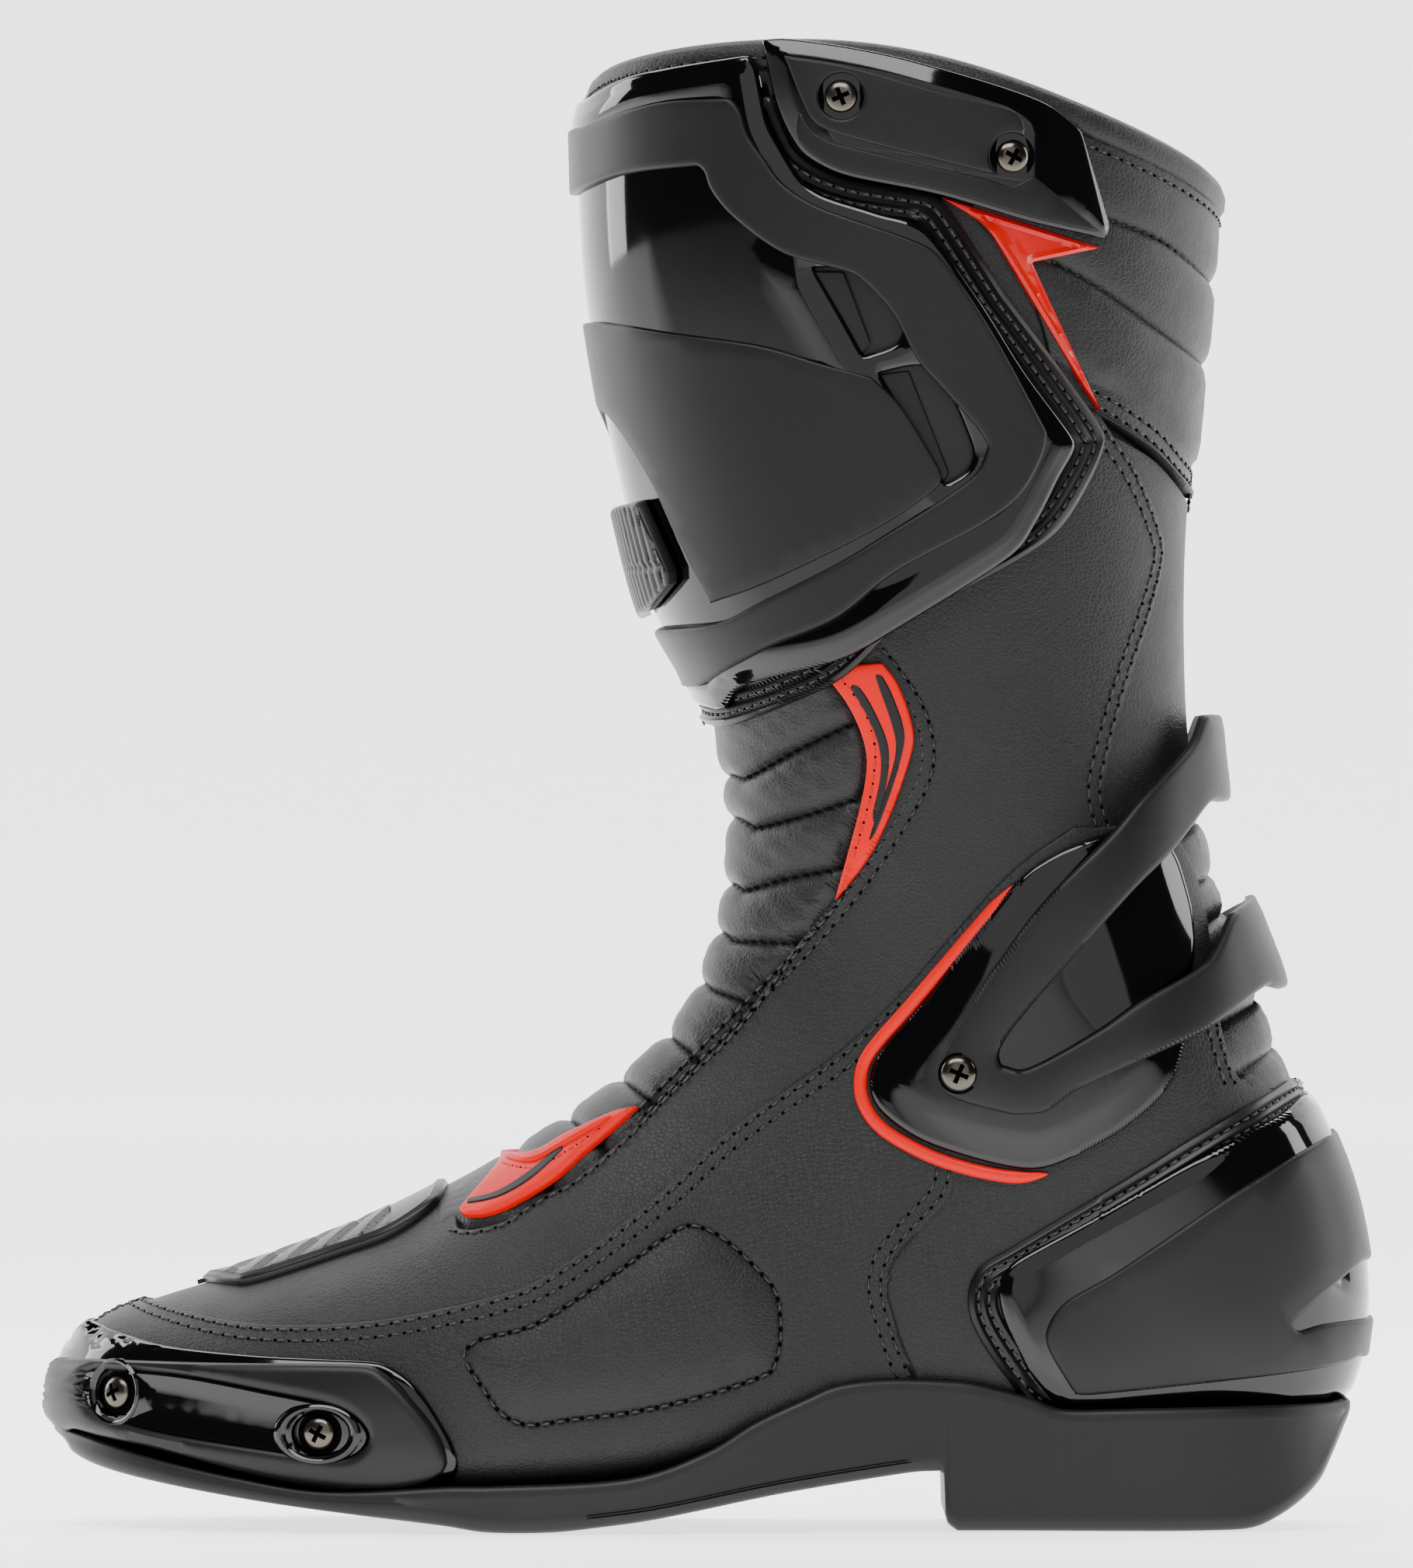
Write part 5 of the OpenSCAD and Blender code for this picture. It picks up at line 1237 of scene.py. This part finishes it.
STRAP_OUT = [(118, 187), (114.9, 186.7), (111.2, 178.9), (99.9, 167.6), (92.4, 159), (77.5, 144.4),
             (67, 130.9), (58.7, 118.2), (54, 109), (53.6, 101.5), (56.5, 99), (62.5, 97), (70, 95.2),
             (77.5, 96), (84.9, 101), (99.9, 107.9), (114.9, 115), (127.3, 123.6), (131, 125.5)]
STRAP_IN = [(119, 167.5), (115.7, 166.4), (107.4, 156.1), (96.9, 145.6), (77.5, 124), (70, 115),
            (66.6, 109.6), (67, 106.4), (73, 105.6), (88.7, 113.9), (99.9, 121.5), (112.3, 128.2),
            (116.5, 132), (121.3, 141.5), (127, 145)]


def strap_relief(t, phi, d, p):
    return 0.5 * np.clip(d / 4, 0, 1)


ob = panel("ankle_brace_straps", wrapped_back(side(STRAP_OUT, sharp=(1, 12), off=7)), 5.25, 7.4, 1.0, 1.8,
           strap_relief, holes=[wrapped_back(side(STRAP_IN, sharp=(7, 13), off=7))], rings=(1.8, 2.5, 3.3),
           step=1.0)
finish_piece(ob, MATT, "brace", ["ankle_brace"])
pivot_places = [(np.array([57.6, -m * 46.0, 104.7]), np.array([1.0, 0, 0]), np.array([0, 0, -m * 1.0]),
                 np.array([0, -m * 1.0, 0])) for m in (1, -1)]
# Painted shade in the ankle screw seats and cross recesses.
ob = screw_shadows("ankle_screw_seat_shade", pivot_places, 4.75, 4.2, 2.3)
finish_piece(ob, PAINTED_SHADE, "foot", ["ankle_screws"])
ob = pan_head("ankle_pan_heads", pivot_places, 4.2)
finish_piece(ob, NICKEL, "foot", ["ankle_screws"])

# ---------------------------------------------------------------- heel armour
HEEL_FLANGE = [(139, 102), (135.2, 103.2), (117.8, 93.6), (93.9, 79.2), (70.1, 65), (62.1, 59.9),
               (59.8, 52.8), (62.1, 44.8), (70.1, 32.9), (75.5, 27.5), (86, 25.5), (130, 25.5), (150, 29)]
COUNTER = [(143, 99.5), (138, 99.7), (131.3, 94.9), (109.8, 83.8), (86, 70.3), (70.1, 61.5), (67, 56.8),
           (67.9, 48.8), (73.3, 36.9), (78.8, 29.5), (83.5, 26), (130, 25.8), (150, 29.2)]
COVER = [(148, 91), (143.6, 90.3), (133.7, 84.8), (117.8, 75.2), (93.9, 59.3), (82.8, 52.9), (78.6, 48),
         (77.9, 42.4), (84.4, 30.8), (88, 30.6), (125.7, 34.5), (146.4, 37.3), (152, 39.5)]
SLOT = [(153, 61.7), (150.7, 60.7), (141.6, 53.6), (135, 48), (134.6, 46.4), (136, 45.4), (141.6, 46.8),
        (149.5, 47.6), (154, 48)]
ob = panel("heel_flange_ridged", wrapped_back(side(HEEL_FLANGE, sharp=(1,), off=2)), 0.5, 1.8, 0.5, 7,
           ridges((1.2, 3.6, 6.0), 0.9), rings=np.arange(0.9, 7.0, 0.4), step=0.8)
finish_piece(ob, FLANGE, "foot", ["heel_flange"])


def counter_relief(t, phi, d, p):
    return 0.9 * np.clip(d / 3.5, 0, 1)


ob = panel("heel_counter_gloss", wrapped_back(side(COUNTER, sharp=(1, 8), off=3.4)), 1.6, 3.0, 0.9, 3.0,
           counter_relief, rings=(1.3, 1.9, 2.7, 3.5, 4.6))
finish_piece(ob, GLOSS, "foot", ["heel_counter"])
ob = panel("heel_cover_matt", wrapped_back(side(COVER, sharp=(1, 8), off=5)), 3.2, 5.0, 1.1, 3.0, None,
           holes=[wrapped_back(side(SLOT, sharp=(1, 7), off=4.5))])
finish_piece(ob, MATT, "foot", ["heel_cover"])

# ---------------------------------------------------------------- toe armour
GUARD = [(-144.5, 47.5), (-142, 46.8), (-132.3, 43.8), (-121.9, 41.6), (-101.2, 39.9), (-76.9, 39),
         (-72.3, 37.8), (-66, 32.9), (-59.2, 22.5), (-57, 17), (-57.2, 12.8), (-60, 9)]
guard_half = side(GUARD, off=1.6)
guard_half[0, 1] = 0
under_toe = np.stack([np.linspace(guard_half[-1, 0], 0.15, 40), np.linspace(guard_half[-1, 1], 150, 40)], -1)
guard_half = np.vstack([guard_half, under_toe])


def guard_relief(t, phi, d, p):
    x = p[:, 0] + 0.55 * (p[:, 2] - 36)
    notch = np.exp(-(((x + 146) % 6.6 - 3.3) / 0.75) ** 2)
    front = np.clip((-114 - p[:, 0]) / 6, 0, 1) * np.clip((p[:, 2] - 39.5) / 1.5, 0, 1)
    return 0.5 * np.clip(d / 2.5, 0, 1) - notch * front * np.clip((d - 0.8) / 0.8, 0, 1) * 0.8


ob = panel("toe_guard_gloss", np.vstack([guard_half, mirror(guard_half[::-1][:-1])]), 0.5, 2.3, 0.8, 1.1,
           guard_relief, rings=(1.2, 1.8, 2.5))
finish_piece(ob, GLOSS, "foot", ["toe_guard"])

SLIDER = [(-149.5, 38.8), (-152.4, 35), (-153.3, 28.1), (-152.4, 24.6), (-147.5, 21.5), (-128.9, 17.3),
          (-108.1, 12.4), (-87.3, 8.7), (-73.5, 8), (-63.1, 10.1), (-59.6, 13.5), (-61, 21.2), (-66.5, 29),
          (-73.5, 36.2), (-78.3, 38.5), (-115, 38.8)]
RECESS = [(-143.4, 35), (-140.6, 36.6), (-121.9, 35.7), (-101.2, 32.2), (-83.8, 28.3), (-77.4, 22.5),
          (-80.4, 17.5), (-87.3, 16.3), (-108.1, 19.1), (-128.9, 22.5), (-141.3, 26.7), (-144, 30.9)]
ob = panel("toe_slider_body", side(SLIDER, closed=True, off=5.5), 2.6, 6.2, 1.9, 2.4, None,
           holes=[side(RECESS, closed=True, off=6, step=1.0)], rings=(2.6, 3.6))
finish_piece(ob, SATIN, "foot", ["toe_slider"])


def dish(t, phi, d, p):
    return 1.5 * np.clip(1 - d / 4.4, 0, 1) ** 2


TOE_SCREWS = [(-135.8, 31.2), (-88.7, 22.5)]
ob = panel("toe_slider_recess", side(RECESS, closed=True, off=5, step=1.0), 2.6, 4.3, 0.2, 2.0, dish,
           holes=[disc(TOE_SCREWS[0], 5.2, 4.3), disc((-87.9, 22.5), 5.0, 4.3, 1.3)],
           rings=(0.7, 1.4, 2.2, 3.2, 4.4))
finish_piece(ob, GLOSS, "foot", ["toe_slider"])
toe_places = [standing(q, 4.3) for q in TOE_SCREWS]
head_places = [(o - n * 1.3, u, v, n) for o, u, v, n in toe_places]
# Painted shade in the toe screw seats and cross recesses.
ob = screw_shadows("toe_screw_floor_shade", head_places, 5.1, 3.9, 2.3)
finish_piece(ob, PAINTED_SHADE, "foot", ["toe_slider_screws"])
ob = pan_head("toe_pan_heads", head_places, 3.9)
finish_piece(ob, NICKEL, "foot", ["toe_slider_screws"])
SEAT_PROFILES = [
    [(6.2, 0.0), (6.9, 0.8), (7.3, 0.9), (7.8, 0.5), (7.9, -0.4), (6.2, -0.4)],
    [(5.0, 0.0), (5.6, 1.0), (6.1, 1.3), (6.8, 1.0), (7.3, 0.2), (7.3, -0.4), (5.0, -0.4)]]
for k, (o, u, v, n) in enumerate(toe_places):
    wide = 1.0 if k == 0 else 1.45
    ob = turned("toe_screw_seat_%d" % k, SEAT_PROFILES[k], o, u * wide, v, n)
    finish_piece(ob, GLOSS, "foot", ["toe_slider"])

SHIFT = [(-118, 57.2), (-110.8, 56.8), (-107.5, 56.6), (-101.2, 58.3), (-87.3, 62.9), (-73.5, 67.8),
         (-63.1, 74.7), (-60.2, 79.4)]


def shift_relief(t, phi, d, p):
    bars = np.clip(2.2 * np.sin(2 * math.pi * (p[:, 0] + 0.5 * np.abs(p[:, 1])) / 9.4) + 0.6, 0, 1)
    inner = np.clip((d - 2.4) / 0.7, 0, 1)
    return 0.5 * np.clip(1 - np.abs(d - 1.6) / 1.0, 0, 1) + inner * (1.1 * bars - 0.8) * (p[:, 0] < -72)


ob = panel("shift_pad_moulded", wrapped(side(SHIFT, sharp=(1, 2), off=1.5)), 0.1, 2.0, 0.8, 0.6, shift_relief,
           rings=(1.2, 1.6, 2.2, 2.8))
finish_piece(ob, FLANGE, "foot", ["shift_pad"])

# ---------------------------------------------------------------- thumb grip
def grip_relief(t, phi, d, p):
    z0 = 222.5
    wave = p[:, 1] + 0.9 * np.clip(1 - np.abs(p[:, 2] - z0) / 1.2, 0, 1)
    return np.clip(d / 0.8, 0, 1) * (0.75 * np.sqrt(np.abs(np.sin(math.pi * wave / 2.3))) - 0.45)


grip_loop = np.vstack([[[19.95, -3.5], [20.93, -3.5]],
                       side([(-15.2, 235.4), (-8.1, 219.7), (-7.9, 216.8), (-13.4, 210.5)],
                            sharp=(0, 1, 2, 3), off=7)])
ob = panel("vent_grip_ribbed", grip_loop, 5.6, 8.4, 0.5, 0.42, grip_relief, step=0.5)
finish_piece(ob, FLANGE, "vent_grip", ["vent_grip"])

# ---------------------------------------------------------------- sole
SOLE_PLAN = [(-151.5, 10), (-147.5, -7), (-138, -21), (-122, -33.5), (-98, -43.5), (-70, -50.5), (-40, -54),
             (-10, -52.5), (20, -48), (50, -43.8), (80, -41), (110, -39), (130, -33.5), (144, -22),
             (151.5, -6), (151.5, 6), (144, 21), (130, 32.5), (110, 38.5), (80, 39.5), (50, 38.5), (20, 39),
             (-10, 43.5), (-40, 50.5), (-70, 55.5), (-98, 54.5), (-122, 47.5), (-138, 36.5), (-147.5, 24)]
SOLE_LOW = [(-152, 22.5), (-148, 19.5), (-145.9, 16.7), (-138.8, 13.7), (-124.5, 10.5), (-103.2, 6.9),
            (-81.8, 4.1), (-60.4, 1.6), (-50, 0.1), (-36, 0.1), (-24.8, 1.2), (-10.6, 3.2), (17.9, 8.9),
            (46.4, 13.4), (53.6, 13.8), (54.3, 12.8), (54.6, 3.5), (55.2, 1.6), (57.4, 0.1), (122, 0.1),
            (131.8, 3.4), (140, 9.9), (144, 17), (147.5, 25), (149, 28)]
SOLE_TOP = [(-152, 23.4), (-145, 21.6), (-129, 16.8), (-108, 12.2), (-87, 9.2), (-60, 10.6), (-48, 10.8),
            (-18.2, 12.5), (-0.5, 18.3), (11.1, 25.2), (22.7, 30.6), (30.4, 33.7), (42, 34.9), (58.2, 34.3),
            (66.1, 32.7), (74.8, 30.3), (81.2, 27.9), (100, 28), (144, 28.8), (149, 29.4)]


def profile_line(points, sharp=()):
    c = catmull(points, sharp, step=0.8)
    order = np.argsort(c[:, 0], kind="stable")
    return c[order]


low_line, top_line = profile_line(SOLE_LOW, range(14, 19)), profile_line(SOLE_TOP)


def sole_low(x):
    return np.interp(x, low_line[:, 0], low_line[:, 1])


def sole_top(x):
    return np.interp(x, top_line[:, 0], top_line[:, 1])


HEEL_BREAST = (53.6, 54.3, 54.6, 55.2, 57.4)  # x of the steps of the heel's front face
WAIST = (-22.3, -21.9, 46.7, 47.0)  # x where the waist's pocket begins and ends


def outsole():
    plan = catmull(SOLE_PLAN, closed=True, step=1.6)
    cut = []
    for i in range(len(plan)):
        a, b = plan[i], plan[(i + 1) % len(plan)]
        cut.append(a)
        for x in sorted(HEEL_BREAST, reverse=bool(b[0] < a[0])):
            if min(a[0], b[0]) < x < max(a[0], b[0]):
                cut.append(a + (b - a) * (x - a[0]) / (b[0] - a[0]))
    plan = np.array(cut)
    plan[:, 0] = np.clip(plan[:, 0], -150.8, 148.2)
    tan = np.roll(plan, -2, 0) - np.roll(plan, 2, 0)
    inward = np.stack([-tan[:, 1], tan[:, 0]], -1)
    inward /= np.maximum(np.linalg.norm(inward, axis=1, keepdims=True), 1e-6)
    n = len(plan)
    x0 = plan[:, 0]
    height = np.maximum(sole_top(x0) - sole_low(x0), 0.8)
    s = np.clip(height / 7.0, 0.1, 1)
    notch = ((x0 > -26) & (x0 < 46.8)) * 0.9
    # (inset, from the top or the bottom, distance)
    rows = [(3.4, 0, 2.2), (2.8, 0, 0.35), (1.9, 0, 0.0), (1.0, 0, 0.12), (0.35, 0, 0.55), (0.0, 0, 1.3),
            (-0.15, 0, 3.0), (0.1, 1, 4.0), (0.0, 1, 3.3), ("n", 1, 2.95), ("n", 1, 2.6), (0.0, 1, 2.3),
            (0.1, 1, 1.5), (0.5, 1, 0.7), (1.2, 1, 0.2), (2.2, 1, 0.0)]
    rings = []
    for e, kind, dist in rows:
        inset = notch if e == "n" else e * s
        q = plan + inward * inset[:, None]
        z = sole_low(q[:, 0]) + dist * s if kind else sole_top(q[:, 0]) - dist * s
        rings.append(np.column_stack([q, z]))
    verts = np.vstack(rings)
    faces = strip(0, len(rings), n)

    def cover(ring_index, height_at, flip):
        nonlocal verts
        loop = verts[ring_index * n:(ring_index + 1) * n, :2]
        gx = sorted({*np.arange(-148, 148, 3.2).tolist(), *HEEL_BREAST, *WAIST})
        pts = [(x, y) for x in gx for y in np.arange(-54, 56, 3.2)]
        pts = np.array(pts)
        ok = inside(pts, loop)
        kd = tree(np.column_stack([loop, np.zeros(n)]))
        ok &= nearest(kd, [(x, y, 0) for x, y in pts]) > 1.0
        pts = pts[ok]
        allp = np.vstack([loop, pts])
        out = delaunay_2d_cdt([Vector(v) for v in allp.tolist()], [(i, (i + 1) % n) for i in range(n)], [], 1,
                              1e-6)
        ids = []
        extra = []
        for i, src in enumerate(out[3]):
            m = min(src) if src else None
            if m is not None and m < n:
                ids.append(ring_index * n + m)
            else:
                ids.append(len(verts) + len(extra))
                x, y = out[0][i]
                extra.append((x, y, height_at(x, y)))
        verts = np.vstack([verts, np.array(extra)])
        for f in out[2]:
            g = [ids[i] for i in f]
            faces.append(tuple(g[::-1] if flip else g))

    pocket = catmull(SOLE_PLAN, closed=True, step=4)
    pk = tree(np.column_stack([pocket, np.zeros(len(pocket))]))

    def bottom(x, y):
        deep = 1.4 if -22 < x < 46.8 and pk.find((x, y, 0))[2] > 6.3 else 0
        return float(sole_low(x)) + deep

    cover(len(rings) - 1, bottom, True)
    cover(0, lambda x, y: float(0.55 * sole_top(x) + 0.45 * sole_low(x)), False)
    ob = make_mesh("outsole_moulded", verts, faces, 42)
    fix_normals(ob)
    return ob


finish_piece(outsole(), RUBBER, "foot", ["outsole"])

# ---------------------------------------------------------------- stitching
def both(curves):
    return curves + [mirror(c) for c in curves]


def rows(curve, *offsets):
    return [shifted(curve, d) if d else curve for d in offsets]


toe_rows = rows(side(TOE_SEAM[:-3]), -1.5, -4.3)
seam("quarter", both(toe_rows + rows(side(FRONT_SEAM), -1.4, -4.1) + [pad_closed]), 1.0, None,
     across=True)
rear_low_rows = rows(side([(115.7, 128), (117.5, 116), (120.5, 105), (122, 102)]), -1.5, -4.2)
seam("quarter_rear", both(rear_low_rows), 1.0, None, across=True)
acc_row = rows(side(ACC_EDGE[:-3]), -1.4)
upper_rows = rows(side(SEAM_A), 0, 2.6)
seam("upper_front", both(acc_row), 0.12, None, across=True)
seam("upper_side", both(upper_rows), -0.1, None, across=True)
seam("upper_rear", both(rows(side(REAR_SEAM[2:]), -1.5, -4.3)), 0.12, None, across=True)
seam("front_rib", rib_lines, -3.0, None, length=1.9, gap=1.3, radius=0.3, across=True)
seam("rear_rib", rear_lines, -2.5, None, length=1.9, gap=1.3, radius=0.3, across=True)
seam("calf_channel", channels[:2], -0.95, "shaft", length=2.0, gap=1.3)
seam("calf_band", rows(band_edge, 1.7, 4.5), -0.28, "shaft")
front_row, rear_row = collar_line[np.abs(ph) < 66], collar_line[(ph > 104) & (ph < 236)]
seam("collar_front", [shifted(front_row, -up * 3.7)], 2.4, "shaft")
seam("collar_rear", [shifted(rear_row, -up * 8.2)], 1.4, "shaft")
edge = side([(-1.6, 186), (2, 184.2)] + FLANGE_EDGE[1:], sharp=(12, 15), off=1.6)[:-3]
flange_rows = rows(edge, 2.55, 5.2)
# The flange stitches use the lighter thread: painted highlight.
seam("shin_flange", flange_rows + [mirror(c, SHARE) for c in flange_rows], 2.5, "shaft",
     THREAD_HIGHLIT, 1.9, 1.0, 0.36)
edge = side(HEEL_FLANGE[:10], sharp=(1,), off=2)
heel_rows = rows(edge, 2.4, 4.8)
# The heel flange stitches use the lighter thread: painted highlight.
seam("heel_flange", heel_rows + [back_mirror(c) for c in heel_rows], 1.9, "foot",
     THREAD_HIGHLIT, 1.9, 1.0, 0.36)
red_row = side([(30.5, 195.8), (35.8, 189), (38.6, 181), (38.8, 174.5), (37.3, 165.5), (34, 154)])
seam("instep_trim", both([red_row]), 1.5, None, THREAD_RED, 1.9, 1.2, 0.28, across=True)
red_row = side([(-46.5, 82.6), (-39, 81.8), (-31, 86), (-23, 91.6)])
seam("vamp_trim", both([red_row]), 1.5, "foot", THREAD_RED, 1.9, 1.2, 0.28)


# ---------------------------------------------------------------- kept CAD nodes
KEPT = {"lasting_board": BOARD, "shank": STEEL, "footbed": PAD_CLOTH, "toe_puff": STIFF,
        "heel_stiffener": STIFF, "foot_liner": LINING, "toe_slider_nuts": STEEL, "ankle_nuts": STEEL,
        "calf_nuts": STEEL, "brace_bushes": BRONZE, "shaft_liner": LINING, "shin_padding": PAD_CLOTH,
        "zip_tapes": TAPE, "zip_teeth": NICKEL, "zip_stops": NICKEL, "tab_loop_patch": TAPE,
        "tab_hook_patch": TAPE, "tread_insert": TREAD, "outsole": RUBBER, "zip_slider": NICKEL,
        "zip_pull": RUBBER, "vent_grip": MATT, "vent_mesh": MESH, "vent_shutter": MATT,
        "closure_tab": LEATHER, "toe_slider_screws": NICKEL, "ankle_screws": NICKEL, "calf_screws": NICKEL,
        "shin_plate": GLOSS, "shin_frame": MATT, "shin_insert": MATT, "shin_flange": FLANGE,
        "calf_plate": GLOSS, "calf_inlay": MATT, "calf_chevron": RED, "collar": SOFT, "calf_panel": SOFT,
        "front_accordion": SOFT, "rear_accordion": SOFT, "instep_trim": RED, "vamp_trim": RED,
        "shift_pad": FLANGE, "toe_guard": GLOSS, "toe_slider": SATIN, "heel_flange": FLANGE,
        "heel_counter": GLOSS, "heel_cover": MATT, "ankle_cup_lateral": GLOSS, "ankle_cup_medial": GLOSS,
        "ankle_piping_lateral": RED_SOFT, "ankle_piping_medial": RED_SOFT, "ankle_brace": MATT,}
for node, mat in KEPT.items():
    if node in REPLACED:
        continue
    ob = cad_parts[node]
    ob.data.materials.clear()
    ob.data.materials.append(mat)


# ---------------------------------------------------------------- floor, backdrop and light
def stage_sheet():
    """A round floor that curves up into a wall behind the object, further out than any view's camera."""
    prof = [(r, 0) for r in (0.4, 0.8, 1.6, 3.2, 5.0)]
    flat_rings = len(prof)
    prof += [(5.0 + 1.5 * math.sin(a), 1.5 - 1.5 * math.cos(a)) for a in np.linspace(0.1, math.pi / 2, 12)]
    prof += [(6.5, 10.0)]
    spokes = 64
    verts, faces = [(0, 0, -0.0004)], []
    for r, z in prof:
        for k in range(spokes):
            a = 2 * math.pi * k / spokes
            verts.append((r * math.cos(a), r * math.sin(a), z - 0.0004))
    for k in range(spokes):
        faces.append((0, 1 + k, 1 + (k + 1) % spokes))
    for i in range(len(prof) - 1):
        for k in range(spokes):
            if i >= flat_rings - 1 and not 5 <= k < 27:
                continue
            a, b = 1 + i * spokes + k, 1 + i * spokes + (k + 1) % spokes
            faces.append((a, a + spokes, b + spokes, b))
    me = bpy.data.meshes.new("floor")
    used = sorted({v for f in faces for v in f})
    number = {v: i for i, v in enumerate(used)}
    me.from_pydata([verts[v] for v in used], [], [[number[v] for v in f] for f in faces])
    me.shade_smooth()
    return link(me, "floor")


floor = stage_sheet()
# Painted light: the pale floor and backdrop glow by their own emission, dim in front of the object and bright behind
# it.
pale_glowing_floor = material("pale_floor_painted_glow", "#f2f2f2", 0.6, [], spec=0.1, vary=0.0)
pale_glowing_floor.node_tree.nodes["Principled BSDF"].inputs["Emission Color"].default_value = (1, 1, 1, 1)
sheet = pale_glowing_floor.node_tree
place = sheet.nodes.new("ShaderNodeSeparateXYZ")
# Painted light: the glow strength rises from the front of the floor to the wall behind.
glow_ramp = sheet.nodes.new("ShaderNodeMapRange")
for socket, value in (("From Min", -0.5), ("From Max", -0.13), ("To Min", 0.1), ("To Max", 1.9)):
    glow_ramp.inputs[socket].default_value = value
sheet.links.new(sheet.nodes.new("ShaderNodeTexCoord").outputs["Object"], place.inputs[0])
sheet.links.new(place.outputs[1], glow_ramp.inputs["Value"])
sheet.links.new(glow_ramp.outputs["Result"], sheet.nodes["Principled BSDF"].inputs["Emission Strength"])
floor.data.materials.append(pale_glowing_floor)


def softbox(name, at, target, size, power, colour=(1, 1, 1)):
    d = bpy.data.lights.new(name, "AREA")
    d.shape = "RECTANGLE"
    d.size, d.size_y = size
    d.energy = power
    d.color = colour
    ob = bpy.data.objects.new(name, d)
    ob.location = at
    ob.rotation_euler = (Vector(target) - Vector(at)).to_track_quat("-Z", "Y").to_euler()
    ob.visible_camera = False
    bpy.context.scene.collection.objects.link(ob)
    return ob


softbox("key_top", (-0.25, -0.95, 1.45), (0, 0, 0.15), (1.5, 0.7), 30)
softbox("front_strip", (-1.3, 0.5, 0.62), (0, 0, 0.3), (0.45, 0.85), 10)
softbox("rear_strip", (1.3, 0.15, 0.5), (0, 0, 0.15), (0.35, 1.0), 8)
softbox("fill_face", (0.3, -2.4, 0.8), (0, 0, 0.15), (2.2, 1.6), 12)
softbox("back_wash", (0, 0.7, 1.6), (0, 1.2, 0.4), (2.4, 0.6), 36)
world = bpy.data.worlds.new("studio")
world.use_nodes = True
world.node_tree.nodes["Background"].inputs[0].default_value = (0.92, 0.94, 0.97, 1)
world.node_tree.nodes["Background"].inputs[1].default_value = 0.08
bpy.context.scene.world = world
